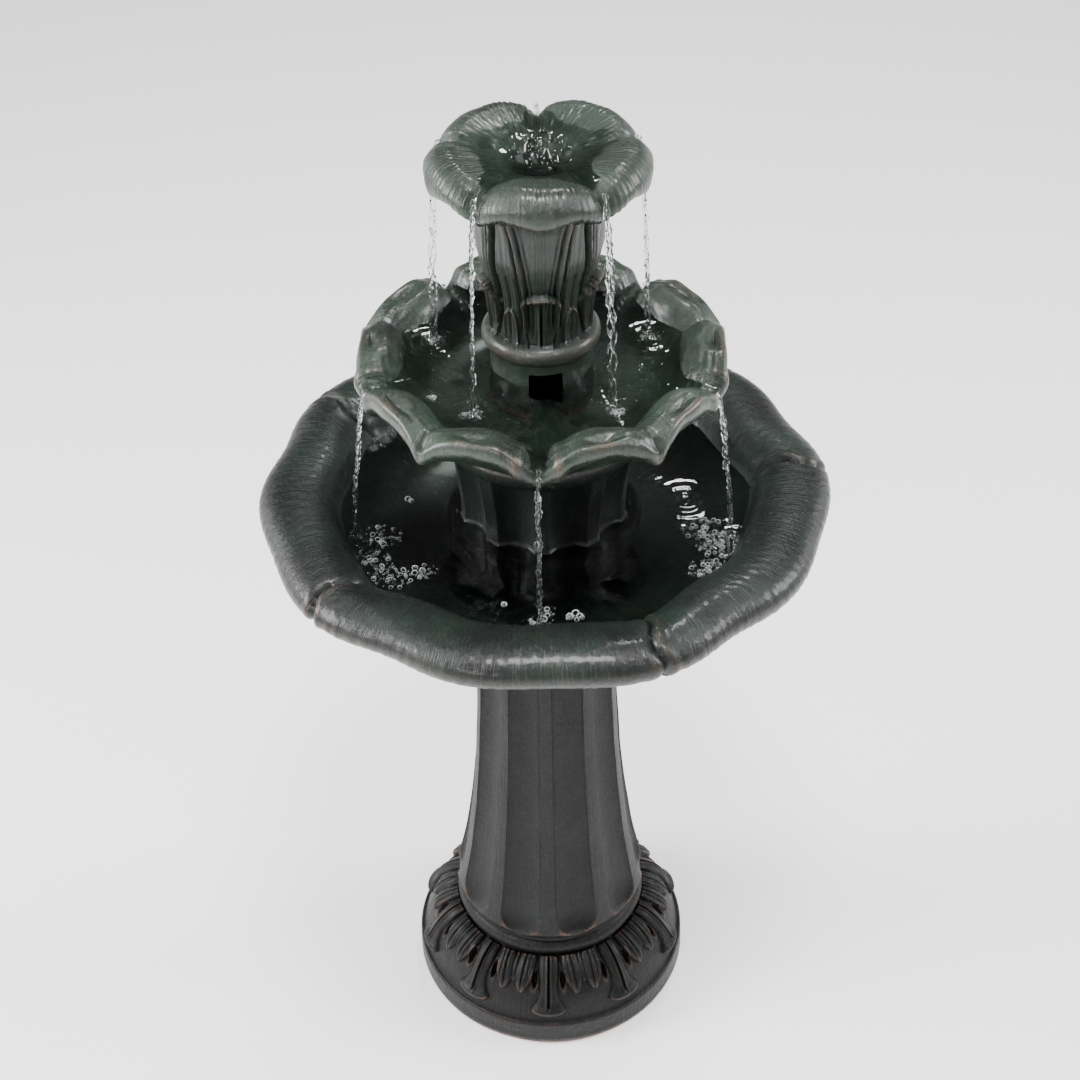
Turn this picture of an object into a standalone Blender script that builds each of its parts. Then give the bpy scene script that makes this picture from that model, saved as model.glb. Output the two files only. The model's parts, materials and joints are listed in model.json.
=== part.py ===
"""Three-tier garden fountain, 0.97 m tall, cast in hollow resin and stacked by gravity.

A fluted pedestal carries a basin with a rolled rim of five petals. A submersible pump stands in the
basin under a fluted neck, which carries the lobed middle bowl, and that bowl carries a lily on a vase.
A riser tube runs from the pump up through the neck, the middle bowl and the vase.

Metres, +Z up, origin at the centre of the plinth on the floor. The front is -Y. Angles round the
fountain are in degrees from the front, towards +X.
"""
import math

import bmesh
import bpy
from mathutils import Matrix, Vector

# ---- Driving dimensions ---------------------------------------------------------------------
GAP = 0.0003                # clearance between pieces that touch
PETALS = 5                  # petals of the basin and the lily, and spouts of the middle bowl
FLUTES = 10                 # flutes of the column and of the neck, and leaves on the foot

PLINTH_RADIUS = 0.142
PLINTH_HEIGHT = 0.033
FOOT_RING_RADIUS = 0.0985   # rounded ring between the leaves and the column
FOOT_RING_HEIGHT = 0.098
COLUMN_TOP = 0.528
COLUMN_SLIM_RADIUS = 0.062  # radius that the column tapers towards
COLUMN_FLARE = 0.0355       # how much wider the column is at its foot
COLUMN_FLARE_HEIGHT = 0.127
COLUMN_TAPER_LENGTH = 0.165
COLUMN_BORE = 0.0635
FLUTE_DEPTH = 0.006
FIRST_FLUTE = 16.0
FIRST_LEAF = -2.0

BASIN_ROLL_RADIUS = 0.2225  # radius of the circle that the rim is rolled around
BASIN_ROLL_HEIGHT = 0.625
BASIN_ROLL_HALF_WIDTH = 0.0325
BASIN_ROLL_HALF_DEPTH = 0.0200
BASIN_FLOOR = 0.575
BASIN_UNDERSIDE = 0.548
BASIN_SPIGOT_RADIUS = 0.060
BASIN_SPIGOT_DEPTH = 0.016
BASIN_FIRST_SEAM = 22.0
PLUG_HOLE_RADIUS = 0.009
PLUG_X = 0.040

NECK_TOP = 0.709
NECK_FLANGE_RADIUS = 0.091
NECK_FLUTES_LOW = 0.616
NECK_FLUTES_HIGH = 0.688
NECK_RING_RADIUS = 0.087

BOWL_BASE = NECK_TOP + GAP
BOWL_FLOOR = 0.735
BOWL_RIM_RADIUS = 0.158
BOWL_FIRST_SPOUT = -2.0
BOWL_HOLE_RADIUS = 0.0135

LILY_BASE = BOWL_FLOOR + GAP
LILY_RIM_RADIUS = 0.0895
LILY_CREST = 0.973
LILY_FIRST_SPOUT = 36.0
LILY_BORE_RADIUS = 0.0125
VASE_RING_RADIUS = 0.0505
VASE_RING_HEIGHT = 0.798
VASE_NOTCH_WIDTH = 0.044
VASE_NOTCH_TOP = 0.789

TUBE_RADIUS = 0.0080
TUBE_BORE = 0.0063
TUBE_TOP = 0.944

PUMP_AXIS_HEIGHT = 0.607
PUMP_HALF_WIDTH = 0.0225
PUMP_HALF_HEIGHT = 0.0235
PUMP_FRONT = 0.0066         # y of the housing's front face
PUMP_BACK = 0.0445
ROTOR_BORE = 0.0115
ROTOR_CAN_WALL = 0.0015
VOLUTE_RADIUS = 0.0210
VOLUTE_FRONT = -0.0120
STRAINER_FRONT = -0.0300
OUTLET_TOP = 0.643

RESIN = (0.030, 0.036, 0.032)
RUBBER = (0.020, 0.020, 0.021)
PUMP_BLACK = (0.025, 0.027, 0.030)

# ---- Scene and small helpers ----------------------------------------------------------------


def clear_scene():
    """Remove every object that the file opens with."""
    for existing in list(bpy.data.objects):
        bpy.data.objects.remove(existing, do_unlink=True)


def new_collection(name):
    collection = bpy.data.collections.new(name)
    bpy.context.scene.collection.children.link(collection)
    return collection


def principled(name, colour, roughness, metallic=0.0):
    """A Principled material with one colour."""
    material = bpy.data.materials.new(name)
    material.use_nodes = True
    shader = material.node_tree.nodes["Principled BSDF"]
    shader.inputs["Base Color"].default_value = (*colour, 1.0)
    shader.inputs["Roughness"].default_value = roughness
    shader.inputs["Metallic"].default_value = metallic
    return material


def add_object(name, mesh, collection, material=None):
    """Put a mesh in a collection as one named object."""
    new = bpy.data.objects.new(name, mesh)
    collection.objects.link(new)
    if material is not None:
        mesh.materials.append(material)
        mesh.shade_smooth()
        mesh.set_sharp_from_angle(angle=math.radians(40.0))
    return new


def apply_modifiers(piece):
    """Replace a piece's mesh by what its modifiers make of it."""
    graph = bpy.context.evaluated_depsgraph_get()
    finished = bpy.data.meshes.new_from_object(piece.evaluated_get(graph))
    piece.modifiers.clear()
    piece.data = finished


def turned(name, outline, steps, collection, material=None):
    """Turn an outline of (radius, height) points about Z; it runs down the outer side.

    An outline whose ends are both on the axis closes there. Any other outline closes on itself,
    which leaves a hole along the axis.
    """
    on_axis = outline[0][0] == 0.0 and outline[-1][0] == 0.0
    edges = [(index, index + 1) for index in range(len(outline) - 1)]
    if not on_axis:
        edges.append((len(outline) - 1, 0))
    mesh = bpy.data.meshes.new(name)
    mesh.from_pydata([(radius, 0.0, height) for radius, height in outline], edges, [])
    piece = add_object(name, mesh, collection)
    screw = piece.modifiers.new("Turn", "SCREW")
    screw.axis = "Z"
    screw.steps = steps
    screw.render_steps = steps
    screw.use_merge_vertices = True
    screw.merge_threshold = 0.00005
    apply_modifiers(piece)
    if material is not None:
        piece.data.materials.append(material)
    piece.data.shade_smooth()
    piece.data.set_sharp_from_angle(angle=math.radians(40.0))
    return piece


def carve(piece, rule):
    """Move every vertex of a turned piece: rule(angle, radius, height) gives radius and height."""
    for vertex in piece.data.vertices:
        radius = math.hypot(vertex.co.x, vertex.co.y)
        if radius < 0.001:
            continue
        angle = math.degrees(math.atan2(vertex.co.x, -vertex.co.y))
        new_radius, new_height = rule(angle, radius, vertex.co.z)
        vertex.co.x *= new_radius / radius
        vertex.co.y *= new_radius / radius
        vertex.co.z = new_height
    piece.data.update()


def cylinder_mesh(name, radius, length, sides):
    """A capped cylinder along Z, centred on its own origin."""
    mesh = bpy.data.meshes.new(name)
    shape = bmesh.new()
    bmesh.ops.create_cone(
        shape, cap_ends=True, segments=sides, depth=length, radius1=radius, radius2=radius)
    shape.to_mesh(mesh)
    shape.free()
    return mesh


def box_mesh(name, low, high):
    """A box between two corners."""
    mesh = bpy.data.meshes.new(name)
    shape = bmesh.new()
    size = Vector(high) - Vector(low)
    centre = (Vector(high) + Vector(low)) / 2
    placed = Matrix.Translation(centre) @ Matrix.Diagonal((*size, 1.0))
    bmesh.ops.create_cube(shape, size=1.0, matrix=placed)
    shape.to_mesh(mesh)
    shape.free()
    return mesh


def along_y(piece, x, y, height):
    """Lay a piece that was made along Z on its side, so that its +Z points to the back."""
    piece.location = (x, y, height)
    piece.rotation_euler = (math.radians(-90.0), 0.0, 0.0)


def boolean(piece, other, operation):
    """Cut another object out of a piece, or join it on, with the exact solver."""
    bpy.context.view_layer.update()
    step = piece.modifiers.new(operation.title(), "BOOLEAN")
    step.operation = operation
    step.solver = "EXACT"
    step.object = other
    other.hide_render = True
    other.display_type = "WIRE"


def settle(piece):
    """Apply a piece's Booleans and take away the loose ends that they leave."""
    apply_modifiers(piece)
    shape = bmesh.new()
    shape.from_mesh(piece.data)
    bmesh.ops.remove_doubles(shape, verts=shape.verts, dist=0.00001)
    shape.to_mesh(piece.data)
    shape.free()


def signed_offset(angle, first, count):
    """Offset of an angle from the nearest of count even features: 0 on it, -1 or 1 halfway between."""
    half_pitch = 180.0 / count
    return ((angle - first + half_pitch) % (2 * half_pitch) - half_pitch) / half_pitch


def from_nearest(angle, first, count):
    """How far an angle is from the nearest of count even features: 0 on it, 1 halfway between."""
    return abs(signed_offset(angle, first, count))


def bump_at(value, centre, width):
    """A soft bump: 1 at the centre, and nearly gone two widths away."""
    return math.exp(-((value - centre) / width) ** 2)


def smooth_step(low, high, value):
    """Rise smoothly from 0 at low to 1 at high."""
    share = min(max((value - low) / (high - low), 0.0), 1.0)
    return share * share * (3.0 - 2.0 * share)


def arc(centre, half_width, half_height, start, end, count):
    """Points on an oval arc in the outline's plane; degrees from outwards, towards up."""
    points = []
    for index in range(count):
        turn = math.radians(start + (end - start) * index / (count - 1))
        points.append((centre[0] + half_width * math.cos(turn),
                       centre[1] + half_height * math.sin(turn)))
    return points


# ---- Pedestal -------------------------------------------------------------------------------


def column_radius(height):
    """The column tapers from its flared foot, and opens a little again under the basin."""
    taper = COLUMN_FLARE * math.exp((COLUMN_FLARE_HEIGHT - height) / COLUMN_TAPER_LENGTH)
    collar = 0.010 * math.exp((height - COLUMN_TOP) / 0.03)
    return COLUMN_SLIM_RADIUS + taper + collar


def pedestal_rule(angle, radius, height):
    """Flutes down the outside of the column, and leaves in relief on the foot."""
    outside = radius > column_radius(height) - 0.004
    if height > FOOT_RING_HEIGHT + 0.012 and outside:
        across = from_nearest(angle, FIRST_FLUTE, FLUTES) / 0.74
        depth = FLUTE_DEPTH * math.sqrt(max(0.0, 1.0 - across * across))
        low_end = smooth_step(FOOT_RING_HEIGHT + 0.020, FOOT_RING_HEIGHT + 0.042, height)
        high_end = smooth_step(COLUMN_TOP, COLUMN_TOP - 0.040, height)
        return radius - depth * low_end * high_end, height
    leaf_zone = PLINTH_HEIGHT + 0.002 < height < FOOT_RING_HEIGHT - 0.012
    if leaf_zone and radius > FOOT_RING_RADIUS + 0.003:
        across = from_nearest(angle, FIRST_LEAF, FLUTES)
        lift = 0.004 * math.cos(across * math.pi / 2)
        return radius + lift, height + lift * 0.5
    return radius, height


def build_pedestal(collection, material):
    """Plinth, leafy foot, ring and fluted column: one hollow moulding, open below and above."""
    column = [COLUMN_TOP, 0.506, 0.478, 0.410, 0.330, 0.250, 0.187, 0.141, 0.116]
    outline = [(column_radius(height), height) for height in column]
    outline += arc((FOOT_RING_RADIUS - 0.010, FOOT_RING_HEIGHT), 0.010, 0.010, 70.0, -60.0, 4)
    outline += [(0.103, 0.086), (0.120, 0.073), (0.132, 0.053), (0.1355, PLINTH_HEIGHT + 0.001)]
    outline += [(PLINTH_RADIUS - 0.003, PLINTH_HEIGHT), (PLINTH_RADIUS, PLINTH_HEIGHT - 0.003)]
    outline += [(PLINTH_RADIUS, 0.003), (PLINTH_RADIUS - 0.003, 0.0), (0.118, 0.0)]
    outline += [(0.118, 0.028), (0.086, 0.077), (0.074, 0.130), (0.060, 0.270), (0.060, 0.485)]
    outline += [(COLUMN_BORE, 0.500), (COLUMN_BORE, COLUMN_TOP)]
    pedestal = turned("pedestal", outline, 60, collection, material)
    carve(pedestal, pedestal_rule)


# ---- Lower basin ----------------------------------------------------------------------------


def basin_rule(angle, radius, height):
    """Push the rolled rim out to a corner at each seam between petals, and draw it in beside it."""
    share = smooth_step(0.150, 0.210, radius)
    from_seam = signed_offset(angle, BASIN_FIRST_SEAM, PETALS)
    pinch = 0.10 * bump_at(from_seam, 0.0, 0.16) * share
    corner = 0.0055 * bump_at(from_seam, 0.0, 0.22)
    waist = 0.0075 * bump_at(from_seam, 0.5, 0.25) + 0.0045 * bump_at(from_seam, -0.6, 0.25)
    new_radius = radius + (BASIN_ROLL_RADIUS - radius) * pinch + (corner - waist) * share
    new_height = height + (BASIN_ROLL_HEIGHT - height) * pinch
    return new_radius, new_height


def build_basin(collection, cutters, material):
    """The wide basin: rolled rim, sloping wall, flat floor, and a spigot that drops into the column."""
    seat = COLUMN_TOP + GAP
    roll_centre = (BASIN_ROLL_RADIUS, BASIN_ROLL_HEIGHT)
    outline = [(0.0, BASIN_FLOOR), (0.092, BASIN_FLOOR), (0.128, 0.580), (0.158, 0.592)]
    outline += [(0.178, 0.607)]
    outline += arc(roll_centre, BASIN_ROLL_HALF_WIDTH, BASIN_ROLL_HALF_DEPTH, 165.0, -75.0, 9)
    outline += [(0.200, 0.589), (0.160, 0.571), (0.115, 0.553), (0.088, 0.540), (0.082, seat)]
    outline += [(BASIN_SPIGOT_RADIUS, seat), (BASIN_SPIGOT_RADIUS - 0.001, seat - BASIN_SPIGOT_DEPTH)]
    outline += [(0.053, seat - BASIN_SPIGOT_DEPTH), (0.052, BASIN_UNDERSIDE), (0.0, BASIN_UNDERSIDE)]
    basin = turned("lower_basin", outline, 60, collection, material)
    carve(basin, basin_rule)
    hole = add_object("plug_hole", cylinder_mesh("plug_hole", PLUG_HOLE_RADIUS, 0.08, 20), cutters)
    hole.location = (PLUG_X, 0.0, BASIN_FLOOR)
    boolean(basin, hole, "DIFFERENCE")
    settle(basin)


def build_cord_plug(collection, material):
    """Rubber bung in the basin's floor: the cord passes through it, and it pulls out to drain."""
    bore = 0.0025
    shank = PLUG_HOLE_RADIUS - 0.0006
    outline = [(0.0125, BASIN_FLOOR + 0.0035), (0.0130, BASIN_FLOOR + GAP), (shank, BASIN_FLOOR + GAP)]
    outline += [(shank - 0.001, BASIN_UNDERSIDE + 0.002), (bore, BASIN_UNDERSIDE + 0.002)]
    outline += [(bore, BASIN_FLOOR + 0.0045), (0.0110, BASIN_FLOOR + 0.0045)]
    plug = turned("cord_plug", outline, 20, collection, material)
    plug.location = (PLUG_X, 0.0, 0.0)


# ---- Neck, middle bowl and lily -------------------------------------------------------------


def neck_rule(angle, radius, height):
    """Wide flutes with flat edges round the neck."""
    if NECK_FLUTES_LOW < height < NECK_FLUTES_HIGH and radius > 0.071:
        across = from_nearest(angle, FIRST_FLUTE, FLUTES) / 0.8
        depth = 0.0045 * math.sqrt(max(0.0, 1.0 - across * across))
        return radius - depth, height
    return radius, height


def build_neck(collection, cutters, material):
    """The pump cover: a fluted drum, open below, with a plate on top that carries the middle bowl."""
    foot = BASIN_FLOOR + GAP
    outline = [(0.0125, NECK_TOP), (NECK_FLANGE_RADIUS - 0.002, NECK_TOP)]
    outline += [(NECK_FLANGE_RADIUS, NECK_TOP - 0.005), (NECK_FLANGE_RADIUS - 0.001, NECK_TOP - 0.014)]
    outline += [(0.0840, NECK_FLUTES_HIGH + 0.002), (0.0825, NECK_FLUTES_HIGH - 0.004)]
    outline += [(0.0785, 0.6600), (0.0755, 0.6350), (0.0745, NECK_FLUTES_LOW + 0.001)]
    outline += [(0.0800, NECK_FLUTES_LOW - 0.004)]
    outline += [(NECK_RING_RADIUS, 0.6050), (NECK_RING_RADIUS, 0.5930), (0.0850, foot)]
    outline += [(0.0780, foot), (0.0665, 0.6080), (0.0670, 0.6910), (0.0640, 0.6990), (0.0125, 0.6990)]
    neck = turned("pump_cover_neck", outline, 40, collection, material)
    carve(neck, neck_rule)
    arch = box_mesh("neck_arch", (-0.014, 0.050, foot - 0.010), (0.014, 0.100, foot + 0.018))
    boolean(neck, add_object("neck_arch", arch, cutters), "DIFFERENCE")
    settle(neck)


def bowl_rule(angle, radius, height):
    """Ten puffed lobes on the bowl's rim: a low spout and a corner take turns between them."""
    share = smooth_step(0.098, 0.136, radius)
    from_spout = from_nearest(angle, BOWL_FIRST_SPOUT, PETALS)
    lobe = math.sin(from_spout * math.pi) ** 0.7
    corner = smooth_step(0.75, 1.0, from_spout)
    middle_height = 0.7295 + 0.4926 * (radius - 0.090)
    puff = 1.0 - 0.7 * smooth_step(0.004, -0.006, height - middle_height)
    rise = 0.014 * lobe * puff + 0.002 * corner - 0.008 * (1.0 - from_spout) ** 3
    return radius + share * (0.004 * corner + 0.001 * lobe), height + share * rise


def build_middle_bowl(collection, material):
    """The lobed bowl. Its flat foot stands on the neck, and the tube rises through its middle."""
    outline = [(BOWL_HOLE_RADIUS, BOWL_FLOOR), (0.060, BOWL_FLOOR), (0.095, 0.742), (0.115, 0.755)]
    outline += [(0.130, 0.7665), (0.142, 0.7715), (BOWL_RIM_RADIUS - 0.005, 0.7705)]
    outline += [(0.159, 0.764), (0.157, 0.756), (0.150, 0.752), (0.130, 0.743), (0.105, 0.730)]
    outline += [(0.090, 0.719), (0.085, BOWL_BASE), (BOWL_HOLE_RADIUS, BOWL_BASE)]
    bowl = turned("middle_bowl", outline, 60, collection, material)
    carve(bowl, bowl_rule)


def lily_rule(angle, radius, height):
    """Petals that roll over between the spouts, and folds that run on down the vase."""
    from_spout = from_nearest(angle, LILY_FIRST_SPOUT, PETALS)
    petal = math.sin(from_spout * math.pi / 2)
    if height > 0.930 and radius > 0.030:
        share = smooth_step(0.030, 0.080, radius)
        rise = share * (0.011 * petal ** 0.6 - 0.011)
        return radius + share * 0.002 * petal, height + rise
    if 0.825 < height <= 0.930 and radius > 0.041:
        return radius - 0.0015 * (1.0 - petal), height
    return radius, height


def build_lily(collection, cutters, material):
    """Lily, vase and foot ring in one moulding, hollow from below, with a bore for the tube."""
    ring_centre = (VASE_RING_RADIUS - 0.009, VASE_RING_HEIGHT)
    outline = [(LILY_BORE_RADIUS, 0.924), (0.0175, 0.924), (0.026, 0.935), (0.044, 0.950)]
    outline += [(0.060, 0.964), (0.073, LILY_CREST), (0.083, 0.969), (LILY_RIM_RADIUS, 0.956)]
    outline += [(0.084, 0.949), (0.072, 0.944), (0.0600, 0.932), (0.0545, 0.908), (0.0520, 0.883)]
    outline += [(0.0455, 0.855), (0.0420, 0.828), (0.0405, 0.813)]
    outline += arc(ring_centre, 0.009, 0.009, 60.0, -60.0, 4)
    outline += [(0.0450, VASE_NOTCH_TOP), (0.0450, LILY_BASE), (0.0380, LILY_BASE), (0.0350, 0.785)]
    outline += [(0.0350, 0.845), (0.0400, 0.885), (0.0380, 0.904), (LILY_BORE_RADIUS, 0.912)]
    lily = turned("top_lily", outline, 60, collection, material)
    carve(lily, lily_rule)
    half = VASE_NOTCH_WIDTH / 2
    notch = box_mesh("vase_notch", (-half, -0.070, LILY_BASE - 0.010), (half, -0.020, VASE_NOTCH_TOP))
    boolean(lily, add_object("vase_notch", notch, cutters), "DIFFERENCE")
    settle(lily)


# ---- Riser tube and its seals ---------------------------------------------------------------


def build_seal(name, low, high, radius, collection, material):
    """A rubber ring with a lip, between the tube and the hole that it passes through."""
    bore = TUBE_RADIUS + 0.0006
    shank = radius - 0.0005
    outline = [(radius + 0.0035, high + 0.0025), (radius + 0.0040, high + GAP), (shank, high + GAP)]
    outline += [(shank, low), (bore, low), (bore, high + 0.0025)]
    turned(name, outline, 20, collection, material)


def build_outlet_adapter(collection, material):
    """Stepped adapter: a socket over the pump's outlet below, and a spigot for the tube above."""
    shoulder = OUTLET_TOP + 0.002
    outline = [(0.0059, shoulder + 0.020), (0.0059, shoulder), (0.0092, shoulder)]
    outline += [(0.0092, OUTLET_TOP - 0.011), (0.0064, OUTLET_TOP - 0.011)]
    outline += [(0.0064, OUTLET_TOP + GAP)]
    outline += [(0.0045, OUTLET_TOP + GAP), (0.0045, shoulder + 0.020)]
    turned("outlet_adapter", outline, 20, collection, material)


def build_riser_tube(collection, material):
    """Clear tube from the adapter to the heart of the lily."""
    low = OUTLET_TOP + 0.002 + GAP
    outline = [(TUBE_RADIUS, TUBE_TOP), (TUBE_RADIUS, low), (TUBE_BORE, low), (TUBE_BORE, TUBE_TOP)]
    turned("riser_tube", outline, 20, collection, material)


# ---- Pump -----------------------------------------------------------------------------------


def build_pump_housing(collection, cutters, material):
    """Housing with a blind can for the rotor, open at the back where the stator is potted in."""
    low = (-PUMP_HALF_WIDTH, PUMP_FRONT, PUMP_AXIS_HEIGHT - PUMP_HALF_HEIGHT)
    high = (PUMP_HALF_WIDTH, PUMP_BACK, PUMP_AXIS_HEIGHT + PUMP_HALF_HEIGHT)
    housing = add_object("pump_housing", box_mesh("pump_housing", low, high), collection, material)
    can_radius = ROTOR_BORE + ROTOR_CAN_WALL
    recess = add_object("stator_recess", stator_mesh("stator_recess", 0.0, can_radius, 0.02), cutters)
    boolean(housing, recess, "DIFFERENCE")
    bore = add_object("rotor_bore", cylinder_mesh("rotor_bore", ROTOR_BORE, 0.0660, 24), cutters)
    along_y(bore, 0.0, PUMP_FRONT, PUMP_AXIS_HEIGHT)
    boolean(housing, bore, "DIFFERENCE")
    settle(housing)


def stator_mesh(name, margin, can_radius, past_back):
    """A block round the rotor's can: the stator's recess, or with a margin the stator itself."""
    wall = 0.0025
    low = (-PUMP_HALF_WIDTH + wall + margin, PUMP_FRONT + wall + margin,
           PUMP_AXIS_HEIGHT - PUMP_HALF_HEIGHT + wall + margin)
    high = (PUMP_HALF_WIDTH - wall - margin, PUMP_BACK + past_back,
            PUMP_AXIS_HEIGHT + PUMP_HALF_HEIGHT - wall - margin)
    block = add_object(name + "_block", box_mesh(name, low, high), bpy.context.scene.collection)
    can = add_object(name + "_can", cylinder_mesh(name, can_radius, 0.0700, 24),
                     bpy.context.scene.collection)
    along_y(can, 0.0, PUMP_FRONT, PUMP_AXIS_HEIGHT)
    boolean(block, can, "DIFFERENCE")
    settle(block)
    mesh = block.data
    bpy.data.objects.remove(block)
    bpy.data.objects.remove(can)
    return mesh


def build_stator(collection, material):
    """Core and coil, potted in one block of resin that fills the housing from the back."""
    can_radius = ROTOR_BORE + ROTOR_CAN_WALL + GAP
    mesh = stator_mesh("stator_pack", GAP, can_radius, -0.0005)
    add_object("stator_pack", mesh, collection, material)


def build_round(name, radius, length, y, sides, collection, material):
    """A plain round piece on the pump's axis, starting at y and running back."""
    piece = add_object(name, cylinder_mesh(name, radius, length, sides), collection, material)
    along_y(piece, 0.0, y + length / 2, PUMP_AXIS_HEIGHT)
    return piece


def build_rotor(collection, cutters, magnet_material, impeller_material):
    """Magnet and impeller, which spin together on the fixed shaft."""
    shaft_hole = 0.0018
    magnet = build_round("rotor_magnet", ROTOR_BORE - 0.0010, 0.0265, PUMP_FRONT + 0.0010, 24,
                         collection, magnet_material)
    impeller = build_round("impeller", 0.0075, 0.0038, 0.0035, 24, collection, impeller_material)
    for index in range(6):
        vane = box_mesh("vane", (0.0030, -0.0070, -0.0008), (0.0135, 0.0040, 0.0008))
        blade = add_object("impeller_vane_{}".format(index + 1), vane, cutters)
        blade.location = (0.0, 0.0, PUMP_AXIS_HEIGHT)
        blade.rotation_euler = (0.0, math.radians(60.0 * index), 0.0)
        boolean(impeller, blade, "UNION")
    for piece in (magnet, impeller):
        hole = add_object("shaft_hole_in_" + piece.name,
                          cylinder_mesh("shaft_hole", shaft_hole, 0.08, 12), cutters)
        along_y(hole, 0.0, 0.0, PUMP_AXIS_HEIGHT)
        boolean(piece, hole, "DIFFERENCE")
        settle(piece)


def build_shaft_and_bushes(collection, cutters, shaft_material, bush_material):
    """Ceramic shaft, held at both ends in a rubber bush."""
    shaft = 0.0012
    build_round("rotor_shaft", shaft, 0.0457, -0.0095, 12, collection, shaft_material)
    for name, y in (("front_bush", -0.0115), ("rear_bush", 0.0345)):
        bush = build_round(name, 0.0032, 0.0038, y, 16, collection, bush_material)
        hole = add_object("hole_in_" + name, cylinder_mesh("bush_hole", shaft + GAP, 0.02, 12), cutters)
        forward = name == "rear_bush"
        along_y(hole, 0.0, y - 0.008 if forward else y + 0.0118, PUMP_AXIS_HEIGHT)
        boolean(bush, hole, "DIFFERENCE")
        settle(bush)


def build_volute_cover(collection, cutters, material):
    """Round chamber over the impeller, with an outlet on top and inlet holes round the front bush."""
    back = PUMP_FRONT - GAP
    depth = back - VOLUTE_FRONT
    cover = build_round("volute_cover", VOLUTE_RADIUS, depth, VOLUTE_FRONT, 32, collection, material)
    outlet = add_object("outlet_pipe", cylinder_mesh("outlet_pipe", 0.0060, 0.0200, 20), cutters)
    outlet.location = (0.0, 0.0, OUTLET_TOP - 0.0100)
    boolean(cover, outlet, "UNION")
    chamber = add_object("chamber", cylinder_mesh("chamber", VOLUTE_RADIUS - 0.0045, depth, 32), cutters)
    along_y(chamber, 0.0, VOLUTE_FRONT + 0.0040 + depth / 2, PUMP_AXIS_HEIGHT)
    boolean(cover, chamber, "DIFFERENCE")
    passage = add_object("outlet_bore", cylinder_mesh("outlet_bore", 0.0042, 0.0400, 20), cutters)
    passage.location = (0.0, 0.0, OUTLET_TOP - 0.0180)
    boolean(cover, passage, "DIFFERENCE")
    seat = add_object("bush_seat", cylinder_mesh("bush_seat", 0.0032 + GAP, 0.0200, 16), cutters)
    along_y(seat, 0.0, VOLUTE_FRONT, PUMP_AXIS_HEIGHT)
    boolean(cover, seat, "DIFFERENCE")
    for index in range(5):
        turn = math.radians(72.0 * index)
        inlet = add_object("inlet_{}".format(index + 1), cylinder_mesh("inlet", 0.0026, 0.02, 12), cutters)
        along_y(inlet, 0.0085 * math.sin(turn), VOLUTE_FRONT,
                PUMP_AXIS_HEIGHT + 0.0085 * math.cos(turn))
        boolean(cover, inlet, "DIFFERENCE")
    settle(cover)


def build_strainer(collection, cutters, material):
    """Clip-on cover that keeps leaves out: a shallow box, open at the back, with slots in front."""
    back = VOLUTE_FRONT - 0.0005
    wall = 0.002
    low = (-PUMP_HALF_WIDTH, STRAINER_FRONT, PUMP_AXIS_HEIGHT - PUMP_HALF_HEIGHT)
    high = (PUMP_HALF_WIDTH, back, PUMP_AXIS_HEIGHT + PUMP_HALF_HEIGHT)
    strainer = add_object("strainer_cover", box_mesh("strainer_cover", low, high), collection, material)
    room = box_mesh("strainer_room", (low[0] + wall, low[1] + wall, low[2] + wall),
                    (high[0] - wall, back + 0.010, high[2] - wall))
    boolean(strainer, add_object("strainer_room", room, cutters), "DIFFERENCE")
    for side in (-1, 1):
        for index in range(3):
            x = side * (0.0135 + 0.0027 * index)
            slot = box_mesh("slot", (x - 0.0007, STRAINER_FRONT - 0.004, PUMP_AXIS_HEIGHT - 0.017),
                            (x + 0.0007, STRAINER_FRONT + 0.006, PUMP_AXIS_HEIGHT + 0.017))
            cutter = add_object("slot_{}_{}".format("left" if side < 0 else "right", index + 1),
                                slot, cutters)
            boolean(strainer, cutter, "DIFFERENCE")
    inlet = add_object("dial_window", cylinder_mesh("dial_window", 0.0070, 0.02, 20), cutters)
    along_y(inlet, 0.0, STRAINER_FRONT, PUMP_AXIS_HEIGHT)
    boolean(strainer, inlet, "DIFFERENCE")
    settle(strainer)


def build_flow_dial(collection, cutters, material):
    """Dial on the strainer's front: a quarter turn brings its windows over the inlet."""
    thickness = 0.0025
    y = STRAINER_FRONT - GAP - thickness
    dial = build_round("flow_dial", 0.0105, thickness, y, 24, collection, material)
    grip = box_mesh("dial_grip", (-0.0014, y - 0.003, PUMP_AXIS_HEIGHT - 0.0075),
                    (0.0014, y + 0.001, PUMP_AXIS_HEIGHT + 0.0075))
    boolean(dial, add_object("dial_grip", grip, cutters), "UNION")
    for side in (-1, 1):
        window = add_object("dial_window_{}".format("left" if side < 0 else "right"),
                            cylinder_mesh("window", 0.0020, 0.02, 12), cutters)
        along_y(window, side * 0.0048, y, PUMP_AXIS_HEIGHT)
        boolean(dial, window, "DIFFERENCE")
    settle(dial)


def build_suction_cups(collection, material):
    """Four soft cups that hold the pump to the basin's floor."""
    top = PUMP_AXIS_HEIGHT - PUMP_HALF_HEIGHT - GAP
    floor = BASIN_FLOOR + GAP
    outline = [(0.0, top), (0.0030, top), (0.0030, floor + 0.0040), (0.0075, floor)]
    outline += [(0.0055, floor), (0.0, floor + 0.0020)]
    for index, (x, y) in enumerate(((-0.015, 0.0125), (0.015, 0.0125), (-0.015, 0.038), (0.015, 0.038))):
        cup = turned("suction_cup_{}".format(index + 1), outline, 20, collection, material)
        cup.location = (x, y, 0.0)


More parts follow.
